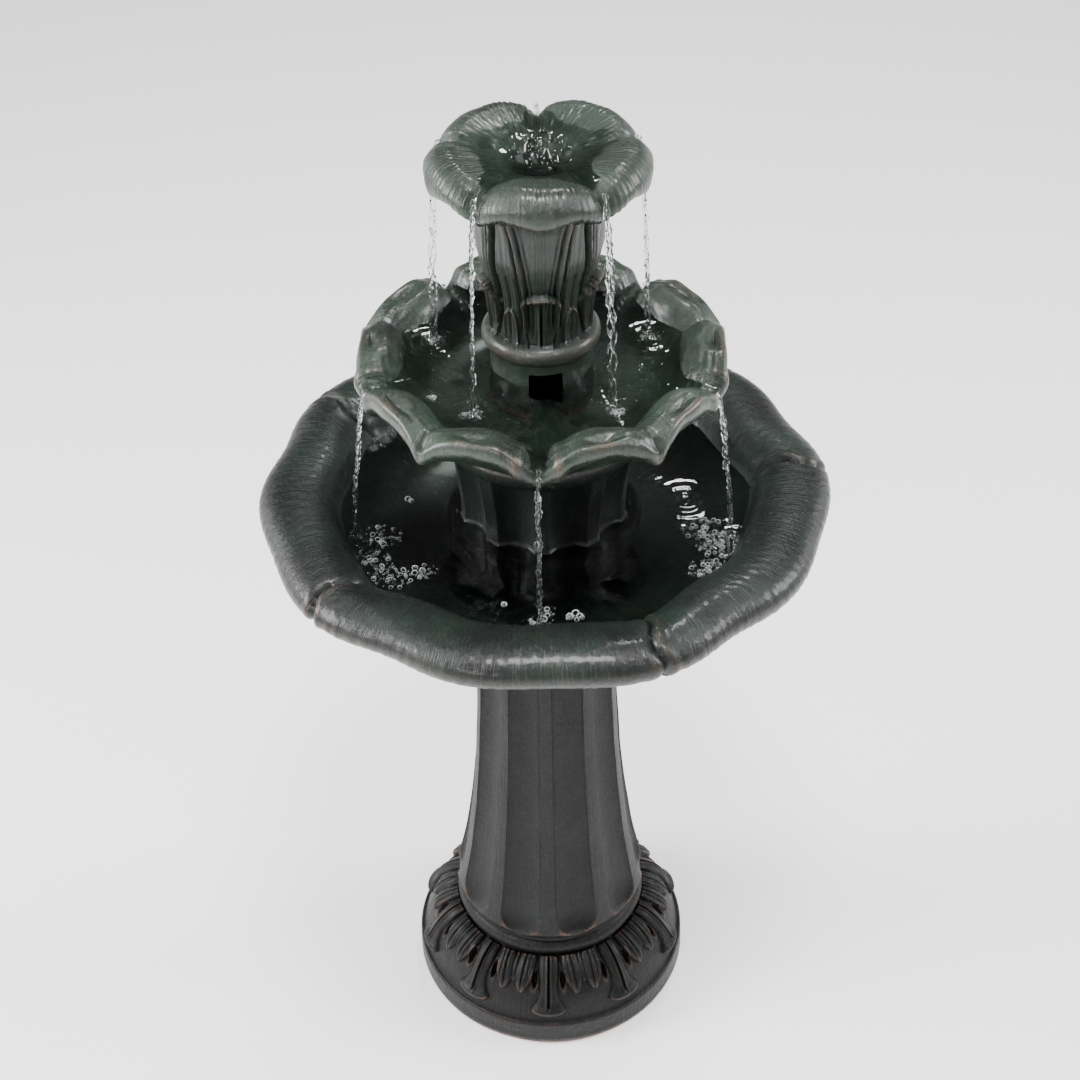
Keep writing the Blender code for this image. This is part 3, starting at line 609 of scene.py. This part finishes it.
def build_neck(material):
    """The fluted drum under the middle bowl, flared at its foot."""
    outline = outline_of(
        ([(0.0126, 0.7070), (0.0130, 0.7089), (0.0885, 0.7090), (0.0908, 0.7070)], 40),
        ([(0.0908, 0.7070), (0.0912, 0.7030), (0.0900, 0.6965), (0.0860, 0.6918), (0.0828, 0.6895)], 20),
        ([(0.0828, 0.6895), (0.0820, 0.6820), (0.0785, 0.6600), (0.0757, 0.6350), (0.0750, 0.6175)], 60),
        ([(0.0750, 0.6175), (0.0765, 0.6135), (0.0835, 0.6105), (0.0874, 0.6040), (0.0870, 0.5940),
          (0.0850, 0.5756)], 30))
    return skin("neck_drum", outline, 540, no_shape, neck_relief, material)[0]


# ---- Middle bowl ----


def bowl_shape(angle, radius, height):
    """Ten puffed lobes: a low spout and a pointed corner take turns between them."""
    share = smooth_step(0.092, 0.140, radius)
    offset = np.abs(signed_offset(angle, BOWL_SPOUT, PETALS))
    lobe = smooth_step(0.02, 0.40, offset) ** 0.8 * (1.0 - 0.42 * bump_at(offset, 1.0, 0.20))
    corner = bump_at(offset, 1.0, 0.24)
    tip = bump_at(offset, 1.0, 0.08)
    channel = bump_at(offset, 0.0, 0.10)
    edge = smooth_step(0.140, 0.158, radius)
    under = smooth_step(0.004, -0.006, height - 0.7295 - 0.4926 * (radius - 0.090))
    uneven = 0.0016 * ripple_noise(angle, radius * 1.5, 13, 12, 8.0)
    rise = (0.0150 * lobe * (1.0 - 0.7 * under * (1.0 - 0.8 * edge)) - 0.0055 * (1.0 - offset) ** 3
            - 0.0030 * channel - 0.0055 * tip * edge - 0.0045 * corner * edge + uneven)
    widen = 0.0055 * corner + 0.0030 * tip * edge - 0.0040 * channel - 0.0035 * lobe * edge + 0.5 * uneven
    return radius + share * widen, height + share * rise


def bowl_relief(angle, radius, height):
    """A dimple on each lobe, a crease at each corner, and lips beside each spout."""
    size = np.abs(signed_offset(angle, BOWL_SPOUT, PETALS))
    top = smooth_step(0.752, 0.762, height)
    outer = smooth_step(0.106, 0.138, radius)
    dimple = -0.0072 * np.exp(-((size - 0.58) / 0.17) ** 2 - ((radius - 0.1475) / 0.0085) ** 2) * top
    inner_swell = 0.0040 * np.exp(-((size - 0.50) / 0.24) ** 2 - ((radius - 0.126) / 0.011) ** 2) * top
    outer_swell = 0.0020 * np.exp(-((size - 0.50) / 0.28) ** 2 - ((radius - 0.1575) / 0.005) ** 2)
    crease = -0.0022 * bump_at(size, 1.0, 0.026) * outer * top
    beside = 0.0026 * bump_at(size, 0.17, 0.055) * outer
    wrinkles = 0.0006 * ripple_noise(angle, radius * 2.0 + height, 17, 20, 34.0) * outer
    lines = 0.00010 * ripple_noise(angle, radius * 2.0 + height, 18, 16, 130.0) * outer
    return dimple + inner_swell + outer_swell + crease + beside + wrinkles + lines


def build_bowl(material):
    """The lobed bowl, with its rolled edge and the foot that stands on the neck."""
    outline = outline_of(
        ([(0.0140, 0.7330), (0.0145, 0.7350), (0.040, 0.7352), (0.062, 0.7354), (0.080, 0.7372),
          (0.098, 0.7435), (0.1110, 0.7515), (0.1220, 0.7610), (0.1320, 0.7680), (0.1430, 0.7716),
          (0.1530, 0.7710), (0.1580, 0.7680), (0.1598, 0.7630), (0.1580, 0.7570), (0.1525, 0.7530),
          (0.1450, 0.7500), (0.130, 0.7430), (0.105, 0.7300), (0.091, 0.7195), (0.0852, 0.7110)], 170),
        ([(0.0852, 0.7110), (0.0845, 0.7094), (0.060, 0.7093)], 8))
    return skin("bowl_lobes", outline, 560, bowl_shape, bowl_relief, material)


# ---- Lily and vase ----


def lily_shape(angle, radius, height):
    """Petals that roll over between the spouts, droop in their middle, and fold on down the vase."""
    offset = np.abs(signed_offset(angle, LILY_SPOUT, PETALS))
    petal = np.sin(offset * np.pi / 2)
    share = smooth_step(0.028, 0.070, radius) * smooth_step(0.926, 0.938, height)
    channel = bump_at(offset, 0.0, 0.15)
    lip = smooth_step(0.078, 0.090, radius) * smooth_step(0.968, 0.948, height) * (height > 0.938)
    droop = 0.0060 * lip * bump_at(offset, 1.0, 0.32) - 0.0020 * lip * bump_at(offset, 0.45, 0.16)
    dent = 0.0014 * bump_at(offset, 1.0, 0.20)
    uneven = 0.0010 * ripple_noise(angle, radius * 1.5, 19, 10, 7.0)
    rise = share * (0.011 * petal ** 0.75 - 0.011 - 0.0030 * channel - dent + uneven) - droop
    widen = share * (0.002 * petal - 0.0060 * channel + 0.5 * uneven)
    vase = (height > 0.815) * (height < 0.942) * (radius > 0.036) * (1.0 - share)
    fold = 0.0022 * vase * smooth_step(0.815, 0.850, height) * (1.0 - petal)
    return radius + widen - fold, height + rise


def fold_relief(angle, height):
    """Deep folds that run from under the spouts down to the leaves, and fine lines between them."""
    size = np.abs(signed_offset(angle, LILY_SPOUT, PETALS))
    climb = np.clip((height - 0.850) / 0.085, 0.0, 1.0)
    drift = climb ** 1.6
    main = -0.0046 * bump_at(size, 0.40 - 0.28 * drift, 0.050)
    ledge = 0.0022 * bump_at(size, 0.50 - 0.28 * drift, 0.050)
    second = -0.0030 * bump_at(size, 0.62 - 0.32 * drift, 0.035)
    third = -0.0014 * bump_at(size, 0.76 - 0.34 * drift, 0.026)
    lines = 0.00022 * np.cos(np.radians(angle * 95.0) + 3.0 * np.sin(np.radians(angle * 15.0)))
    return (main + ledge + second + third + lines) * smooth_step(0.812, 0.835, height)


def collar_relief(angle, height):
    """Acanthus leaves round the vase's foot: five broad ones, curled at the tip, and five small ones."""
    size = np.abs(signed_offset(angle, 0.0, PETALS))
    rise = (height - 0.806) / 0.054
    width = 0.34 + 0.30 * smooth_step(0.0, 0.60, rise)
    leaf = rounded(size, width, rise, 0.62, 1.0)
    rim = bump_at(leaf, 0.40, 0.24) * (leaf > 0.02) * smooth_step(0.15, 0.80, rise)
    curl = bump_at(rise, 0.93, 0.10) * (leaf > 0.0)
    ribs = bump_at(size, 0.060, 0.026) - bump_at(size, 0.0, 0.024)
    hollow = smooth_step(0.10, 0.22, size) * smooth_step(0.10, 0.45, rise) * (1.0 - curl)
    broad = (leaf > 0.0) * (0.0020 + 0.0026 * rim + 0.0030 * curl) + leaf * (
        0.0022 * ribs * (1.0 - curl) - 0.0016 * hollow)
    small = rounded(size - 1.0, 0.27, rise, 0.36, 0.62)
    small_rim = bump_at(small, 0.45, 0.25) * (small > 0.02)
    small_height = (small > 0.0) * (0.0012 + 0.0016 * small_rim) - 0.0012 * bump_at(size, 1.0, 0.05)
    shadow = -0.0022 * np.clip(1.0 - np.abs(size - width - 0.05) / 0.06, 0.0, 1.0) * (leaf <= 0.0)
    return np.where(leaf > 0.0, broad, small_height + shadow) * smooth_step(0.0, 0.06, rise)


def lily_relief(angle, radius, height):
    """Folds and leaves on the vase, and veins that run out over the petals."""
    outside = (radius > 0.036) * (height < 0.943)
    vase = outside * smooth_step(0.943, 0.936, height) * (height > 0.812)
    collar = outside * (height > 0.806) * (height < 0.872)
    petal_zone = smooth_step(0.030, 0.045, radius) * (height > 0.944)
    veins = fine_ribs(angle, radius / 0.003, 31, 14, 45, 120)
    return (vase * fold_relief(angle, height) + collar * collar_relief(angle, height)
            + petal_zone * 0.00006 * veins)


def in_vase_notch(points):
    """Where the notch is that lets water out of the vase's skirt, at the front."""
    x, y, z = points[..., 0], points[..., 1], points[..., 2]
    return (np.abs(x - 0.003) < 0.0145) & (y < -0.02) & (z < 0.7800)


def build_lily(material):
    """Flower, vase and foot ring in one skin, open below."""
    ring = arc((0.0415, 0.798), 0.0090, 0.0090, 75.0, -60.0, 9)
    flower = [(0.0130, 0.9200), (0.0150, 0.9275), (0.0185, 0.9390), (0.0255, 0.9525), (0.0370, 0.9610),
              (0.0500, 0.9662), (0.0620, 0.9700), (0.0715, 0.9722), (0.0790, 0.9703), (0.0850, 0.9650),
              (0.0893, 0.9570), (0.0885, 0.9500), (0.0825, 0.9460), (0.072, 0.9430), (0.0625, 0.9350),
              (0.0570, 0.9220), (0.0545, 0.9080), (0.0520, 0.8830), (0.0455, 0.8550), (0.0420, 0.8280),
              (0.0405, 0.8130), (0.0410, 0.8080)]
    outline = outline_of(
        (flower, 190), ([flower[-1]] + ring, 16),
        ([ring[-1], (0.0450, 0.7860), (0.0450, 0.7356)], 22),
        ([(0.0450, 0.7356), (0.0380, 0.7355), (0.0350, 0.7850)], 10))
    piece, points = skin("lily_and_vase", outline, 520, lily_shape, lily_relief, material, in_vase_notch)
    height = points[..., 2]
    radius = np.hypot(points[..., 0], points[..., 1])
    # Painted shade: the whole vase, under the flower's overhanging petals, is darkened in its colour.
    vase = smooth_step(0.792, 0.812, height) * smooth_step(0.947, 0.930, height) * (radius > 0.036)
    darken(piece, 0.52 * vase)
    return piece, points


# ---- Water ----


def shore_radius(grid, level, start_radius):
    """Where each column of a bowl's inner surface rises through the water level, going outwards.

    At a spout nothing rises that far, and the water goes on to the crest of the lip.
    """
    radius = np.hypot(grid[..., 0], grid[..., 1])
    crest = np.argmax(grid[..., 2], axis=0).max()
    beyond = (radius[:crest] > start_radius) & (grid[:crest, :, 2] > level)
    row = np.where(beyond.any(axis=0), beyond.argmax(axis=0), crest)
    return radius[row, np.arange(grid.shape[1])], beyond.any(axis=0)


def pool(name, grid, level, inner_radius, rows, surface, material):
    """The surface of a pool, out to a little inside its bowl's wall."""
    columns = grid.shape[1]
    angle = np.arange(columns)[None, :] * 360.0 / columns
    shore, closed = shore_radius(grid, level, inner_radius + 0.01)
    into_wall = 0.0022
    short_of_crest = 0.0010
    reach = shore + np.where(closed, into_wall, -short_of_crest)
    share = np.linspace(0.0, 1.0, rows)[:, None]
    radius = inner_radius + (reach[None, :] - inner_radius) * share
    x = radius * np.sin(np.radians(angle))
    y = -radius * np.cos(np.radians(angle))
    sag = 0.0014 * smooth_step(0.86, 1.0, share) * np.where(closed, 0.0, 1.0)[None, :]
    points = np.stack([x, y, level + surface(x, y) - sag], -1)
    return mesh_piece(name, points, grid_faces(rows, columns), material)


def rings(x, y, centre, height, length, reach):
    """Ripples that spread from a point."""
    distance = np.hypot(x - centre[0], y - centre[1])
    return height * np.cos(distance * 6.283 / length) * np.exp(-distance / reach)


def chop(x, y, height, length, seed):
    """Small waves that run every way."""
    draws = np.random.default_rng(seed)
    total = 0.0 * x
    for _ in range(14):
        heading = draws.uniform(0.0, 6.283)
        wave = 6.283 / (length * draws.uniform(0.6, 1.7))
        along = x * math.cos(heading) + y * math.sin(heading)
        total = total + np.sin(wave * along + draws.uniform(0, 6.283))
    return height * total / 3.7


def on_circle(angle, radius):
    """The point at an angle from the front."""
    return radius * math.sin(math.radians(angle)), -radius * math.cos(math.radians(angle))


def stream(name, angle, start_radius, start_height, end_height, speed, thickness, material):
    """A falling rope of water: three strands that twist, bead and thin out on the way down."""
    rows = 150
    sides = 10
    drop = np.linspace(0.0, start_height - end_height, rows)[:, None]
    radius = start_radius + speed * np.sqrt(2.0 * drop / GRAVITY)
    draws = np.random.default_rng(int(1000 + 7 * angle + 100 * end_height))
    turn = np.linspace(0.0, 2.0 * math.pi, sides, endpoint=False)[None, :]
    side_x, side_y = on_circle(angle + 90.0, 1.0)
    out_x, out_y = on_circle(angle, 1.0)
    meshes = []
    for strand in range(3):
        phase = strand * 2.1 + draws.uniform(0.0, 1.0)
        sway = thickness * (0.75 + 6.0 * drop)
        across = sway * np.sin(95.0 * drop + phase) + 0.3 * sway * np.sin(310.0 * drop + 3.0 * phase)
        outward = sway * np.cos(80.0 * drop + phase)
        beads = 1.0 + 0.35 * np.sin(420.0 * drop + 5.0 * phase) + 0.25 * np.sin(990.0 * drop + phase)
        girth = thickness * (0.80 - 2.0 * drop.clip(0.0, 0.2)) * beads * smooth_step(-0.01, 0.004, drop)
        flatten = 1.0 + 0.5 * np.sin(150.0 * drop + 2.0 * phase)
        along = radius + outward + girth * np.cos(turn)
        aside = across + girth * flatten * np.sin(turn)
        x = out_x * along + side_x * aside
        y = out_y * along + side_y * aside
        meshes.append(np.stack([x, y, start_height - drop + 0.0 * turn], -1))
    return tube_piece(name, meshes, material)


def tube_piece(name, tubes, material):
    """Closed tubes, given as grids of rings, joined into one piece."""
    points = []
    faces = []
    for grid in tubes:
        rows, sides = grid.shape[:2]
        offset = len(points)
        points.extend(grid.reshape(-1, 3).tolist())
        faces.extend([[offset + corner for corner in face] for face in grid_faces(rows, sides)])
        faces.append([offset + index for index in range(sides)])
        faces.append([offset + (rows - 1) * sides + index for index in reversed(range(sides))])
    return mesh_piece(name, np.array(points), faces, material, sharpness=80.0)


def beads(name, centres, sizes, flatness, material):
    """Many small drops or bubbles in one piece."""
    rows = 8
    sides = 14
    polar = np.linspace(0.12, math.pi - 0.12, rows)[:, None]
    turn = np.linspace(0.0, 2.0 * math.pi, sides, endpoint=False)[None, :]
    unit = np.stack([np.sin(polar) * np.cos(turn), np.sin(polar) * np.sin(turn),
                     flatness * np.cos(polar) + 0.0 * turn], -1)
    drops = [np.array(centre) + size * unit for centre, size in zip(centres, sizes)]
    return tube_piece(name, drops, material)


def scatter(draws, centre, reach, count, level, lift=0.0):
    """Points round a centre, dense in its middle; lift spreads them upwards too."""
    points = []
    for _ in range(count):
        distance = reach * draws.uniform(0.0, 1.0) ** 0.8
        heading = draws.uniform(0.0, 6.283)
        points.append((centre[0] + distance * math.cos(heading),
                       centre[1] + distance * math.sin(heading) * 0.8,
                       level + lift * draws.uniform(0.0, 1.0) ** 2))
    return points


def bubbles(name, draws, spots, level, material):
    """Clusters of bubbles that float on a pool; spots are (angle, radius, reach, count, size)."""
    centres = []
    sizes = []
    for angle, radius, reach, count, size in spots:
        centres += scatter(draws, on_circle(angle, radius), reach, count, level)
        sizes += [size * (0.35 + 1.5 * draws.uniform(0.0, 1.0) ** 3) for _ in range(count)]
    return beads(name, centres, sizes, 0.75, material)


def splash(name, draws, spots, level, material):
    """Drops that jump where the streams land; spots are (angle, radius)."""
    centres = []
    for angle, radius in spots:
        centres += scatter(draws, on_circle(angle, radius), 0.013, 16, level, 0.012)
    return beads(name, centres, [draws.uniform(0.0005, 0.0013) for _ in centres], 1.1, material)


def build_water(grids):
    """Three pools, the streams between them, and the foam and drops where they land."""
    still = pool_surface("pool_water", 60.0, 0.0016)
    running = water("stream_water", (0.88, 0.93, 0.92), 260.0, 0.0012)
    foam = froth()
    build_pools(grids, still)
    build_streams(running)
    build_foam(foam, running)


def build_pools(grids, still):
    """The three pools, with ripples round every place where a stream lands."""
    basin_grid, bowl_grid, lily_grid = grids
    bowl_landings = [on_circle(angle, BOWL_LANDING) for angle in LILY_STREAMS]
    basin_landings = [on_circle(angle, BASIN_LANDING) for angle in BOWL_STREAMS]

    def lily_surface(x, y):
        """Water wells up in the middle of the flower."""
        distance = np.hypot(x, y)
        well = 0.0050 * bump_at(distance, 0.0, 0.013) - 0.0030 * bump_at(distance, 0.021, 0.006)
        boil = chop(x, y, 0.0028, 0.010, 51) * bump_at(distance, 0.0, 0.024)
        return well + boil + chop(x, y, 0.00035, 0.020, 52)

    def bowl_surface(x, y):
        """Rings from five streams."""
        return chop(x, y, 0.00055, 0.024, 53) + sum(
            rings(x, y, spot, 0.0014, 0.0085, 0.016) for spot in bowl_landings)

    def basin_surface(x, y):
        """Rings from five streams, and from a drip on the right."""
        return (chop(x, y, 0.00035, 0.040, 54) + rings(x, y, on_circle(88.0, 0.128), 0.0014, 0.011, 0.022)
                + sum(rings(x, y, spot, 0.0014, 0.010, 0.018) for spot in basin_landings))

    lily_pool = pool("water_lily", lily_grid, LILY_LEVEL, 0.0004, 90, lily_surface, still)
    bowl_pool = pool("water_bowl", bowl_grid, BOWL_LEVEL, 0.036, 110, bowl_surface, still)
    basin_pool = pool("water_basin", basin_grid, BASIN_LEVEL, 0.070, 120, basin_surface, still)
    for piece, body in ((lily_pool, "lily"), (bowl_pool, "bowl"), (basin_pool, "basin")):
        dress(piece, body, "clear_vinyl")


def build_streams(running):
    """Streams from the lily's spouts, and from the bowl's in two halves."""
    for number, angle in enumerate(LILY_STREAMS, 1):
        fall = stream(f"stream_lily_{number}", angle, LILY_LIP, LILY_LEVEL - 0.004, BOWL_LEVEL,
                      0.07, 0.0015, running)
        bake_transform(fall)
    speed = 0.10
    start = BOWL_LEVEL - 0.003
    joint_radius = BOWL_LIP + speed * math.sqrt(2.0 * (start - MIDWAY) / GRAVITY)
    for number, angle in enumerate(BOWL_STREAMS, 1):
        upper = stream(f"stream_bowl_{number}", angle, BOWL_LIP, start, MIDWAY,
                       speed, 0.0014, running)
        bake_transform(upper)
        lower = stream(f"stream_neck_{number}", angle, joint_radius, MIDWAY, BASIN_LEVEL,
                       0.06, 0.0013, running)
        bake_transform(lower)


def build_foam(foam, running):
    """Bubbles that float on the pools, and drops that jump from them."""
    draws = np.random.default_rng(41)
    basin_spots = ((-72.0, 0.152, 0.020, 60, 0.0016), (-62.0, 0.172, 0.020, 90, 0.0013),
                   (-52.0, 0.168, 0.018, 80, 0.0014), (-48.0, 0.142, 0.014, 30, 0.0017),
                   (-2.0, 0.172, 0.020, 40, 0.0016), (8.0, 0.160, 0.008, 16, 0.0018),
                   (66.0, 0.168, 0.024, 190, 0.0013), (72.0, 0.148, 0.020, 90, 0.0013),
                   (54.0, 0.172, 0.018, 90, 0.0013), (-14.0, 0.146, 0.004, 5, 0.0020),
                   (142.0, 0.168, 0.014, 60, 0.0015), (-146.0, 0.168, 0.014, 60, 0.0015),
                   (-92.0, 0.120, 0.004, 6, 0.0017), (0.0, 0.150, 0.010, 12, 0.0019))
    bowl_spots = ((-108.0, 0.100, 0.010, 26, 0.0012), (-36.0, 0.100, 0.010, 22, 0.0012),
                  (36.0, 0.100, 0.010, 22, 0.0012), (108.0, 0.100, 0.010, 26, 0.0012),
                  (180.0, 0.100, 0.010, 22, 0.0012), (-60.0, 0.108, 0.005, 8, 0.0016))
    basin_foam = bubbles("foam_basin", draws, basin_spots, BASIN_LEVEL + 0.0004, foam)
    bowl_foam = bubbles("foam_bowl", draws, bowl_spots, BOWL_LEVEL + 0.0004, foam)
    bowl_drops = splash("drops_bowl", draws, [(angle, BOWL_LANDING) for angle in LILY_STREAMS],
                        BOWL_LEVEL, running)
    basin_drops = splash("drops_basin", draws, [(angle, BASIN_LANDING) for angle in BOWL_STREAMS],
                         BASIN_LEVEL, running)
    boil = beads("drops_lily", scatter(draws, (0.0, 0.0), 0.014, 34, LILY_LEVEL + 0.004, 0.008),
                 [draws.uniform(0.0006, 0.0015) for _ in range(34)], 0.9, running)
    for piece, body in ((basin_foam, "basin"), (bowl_foam, "bowl"), (bowl_drops, "bowl"),
                        (basin_drops, "basin"), (boil, "lily")):
        dress(piece, body, "clear_vinyl")


# ---- Assembly ----


def dress(piece, body, slot, *nodes):
    """Let a piece ride on a body and stand for CAD nodes."""
    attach(piece, body)
    if nodes:
        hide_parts(*nodes)


def build_mouldings():
    """The five resin castings; returns the grids of the three that hold water."""
    dry = patina("bronze_resin_dry", green=0.20, ribs=34.0, wetness=0.10,
                 dark=(0.0040, 0.0042, 0.0038), tint=(0.0085, 0.0110, 0.0092))
    damp = patina("bronze_resin_basin", green=0.60, ribs=95.0, wetness=0.60,
                  dark=(0.0060, 0.0072, 0.0066), tint=(0.012, 0.021, 0.016))
    wet = patina("bronze_resin_wet", green=0.90, ribs=60.0, wetness=0.90,
                 dark=(0.0085, 0.0115, 0.0092), tint=(0.027, 0.045, 0.031))
    dress(build_column(dry), "pedestal", "bronze_resin_dry", "pedestal")
    dress(build_foot(dry), "pedestal", "bronze_resin_dry", "pedestal")
    basin, basin_grid = build_basin(damp)
    dress(basin, "basin", "bronze_resin_basin", "lower_basin")
    dress(build_neck(damp), "neck", "bronze_resin_wet", "pump_cover_neck")
    bowl, bowl_grid = build_bowl(wet)
    dress(bowl, "bowl", "bronze_resin_wet", "middle_bowl")
    lily, lily_grid = build_lily(wet)
    dress(lily, "lily", "bronze_resin_wet", "top_lily")
    return basin_grid, bowl_grid, lily_grid


PLASTICS = {  # darkest and palest colour, and roughness
    "black_rubber": ((0.012, 0.012, 0.013), (0.026, 0.026, 0.027), 0.72),
    "pump_plastic": ((0.016, 0.018, 0.020), (0.034, 0.037, 0.041), 0.42),
    "dial_plastic": ((0.07, 0.20, 0.15), (0.12, 0.29, 0.22), 0.42),
    "impeller_plastic": ((0.09, 0.16, 0.29), (0.15, 0.24, 0.40), 0.40),
    "epoxy_potting": ((0.040, 0.036, 0.032), (0.075, 0.068, 0.060), 0.35),
    "ferrite_magnet": ((0.032, 0.031, 0.030), (0.060, 0.057, 0.055), 0.60),
    "ceramic_shaft": ((0.70, 0.69, 0.65), (0.84, 0.83, 0.79), 0.22),
}


def finish_hidden_parts():
    """Materials for the pump, the tube and the seals, which keep their CAD shapes."""
    looks = {name: moulded_plastic(name, *look) for name, look in PLASTICS.items()}
    looks["clear_vinyl"] = clear_vinyl()
    for subpart in frame["record"]["subparts"]:
        look = looks.get(subpart["material_slot"])
        if look is not None:
            node = frame["nodes"][subpart["node"]]
            node.data.materials.clear()
            node.data.materials.append(look)


# ---- Stage, light and camera ----


LAMPS = (  # place, the height it is aimed at, size and watts
    ("left_softbox", (-2.0, -0.2, 1.5), 0.55, 1.0, 80.0),
    ("right_softbox", (2.1, 0.1, 1.6), 0.55, 0.9, 52.0),
    ("front_softbox", (-0.9, -2.3, 1.7), 0.5, 0.7, 15.0),
    ("top_softbox", (0.1, -0.7, 3.0), 0.5, 0.6, 62.0),
    ("back_strip", (0.5, 1.6, 3.3), 0.6, 0.55, 46.0),
)


def build_stage():
    """A pale floor and soft studio light."""
    nodes = MaterialNodes("floor_paper")
    place = nodes.position()
    tone = nodes.noise(place, 3.0, 3.0)
    nodes.finish(Base_Color=nodes.blend(tone, (0.93, 0.93, 0.925), (0.96, 0.96, 0.955)), Roughness=0.9,
                 Emission_Color=(1.0, 1.0, 1.0, 1.0), Emission_Strength=0.62)
    corners = np.array([(-6.0, -6.0, 0.0), (6.0, -6.0, 0.0), (6.0, 6.0, 0.0), (-6.0, 6.0, 0.0)])
    floor = mesh_piece("floor", corners, [(0, 1, 2, 3)], nodes.material)
    light_the_studio()
    for name, place, aim_height, size, power in LAMPS:
        lamp = bpy.data.lights.new(name, "AREA")
        lamp.shape = "SQUARE"
        lamp.size = size
        lamp.energy = power
        light = bpy.data.objects.new(name, lamp)
        light.location = place
        light.rotation_euler = direction_to(place, (0.0, 0.0, aim_height))
        bpy.context.scene.collection.objects.link(light)


def light_the_studio():
    """A room that is bright on both sides and along the horizon, and darker in front and behind."""
    world = bpy.data.worlds.new("studio")
    bpy.context.scene.world = world
    world.use_nodes = True
    nodes = Nodes(world.node_tree)
    place = nodes.add("ShaderNodeTexCoord").outputs["Generated"]
    across, _, up = nodes.add("ShaderNodeSeparateXYZ", {0: place}).outputs
    sides = nodes.eased(nodes.maths("ABSOLUTE", across), 0.35, 0.85, 0.10, 1.60)
    left_heavy = nodes.maths("MULTIPLY_ADD", across, -0.32, 0.82)
    horizon = nodes.eased(up, 0.03, 0.20, 0.48, 0.0)
    strength = nodes.maths("MAXIMUM", nodes.times(sides, left_heavy), horizon)
    background = nodes.tree.nodes["Background"]
    nodes.feed(background.inputs["Strength"], strength)
    nodes.feed(background.inputs["Color"], (1.0, 1.0, 1.0, 1.0))


def direction_to(place, aim):
    """The rotation that points -Z from one point at another."""
    step = np.array(aim) - np.array(place)
    level = math.hypot(step[0], step[1])
    return math.atan2(level, -step[2]), 0.0, math.atan2(-step[0], step[1])


def build_camera():
    """The camera looks down at the fountain from the front."""
    pitch = math.radians(39.31)
    roll = math.radians(-1.20)
    data = bpy.data.cameras.new("camera")
    data.sensor_width = 36.0
    data.lens = 63.03
    data.shift_x = 0.0051
    camera = bpy.data.objects.new("camera", data)
    right = np.array((1.0, 0.0, 0.0))
    up = np.array((0.0, math.sin(pitch), math.cos(pitch)))
    forward = np.array((0.0, math.cos(pitch), -math.sin(pitch)))
    across = right * math.cos(roll) + up * math.sin(roll)
    upright = up * math.cos(roll) - right * math.sin(roll)
    matrix = np.eye(4)
    matrix[:3, :3] = np.stack([across, upright, -forward], 1)
    matrix[:3, 3] = (-0.0092, -1.3433, 1.6679)
    camera.matrix_world = Matrix(matrix.tolist())
    bpy.context.scene.collection.objects.link(camera)
    bpy.context.scene.camera = camera


build_stage()
build_camera()
grids = build_mouldings()
finish_hidden_parts()
build_water(grids)
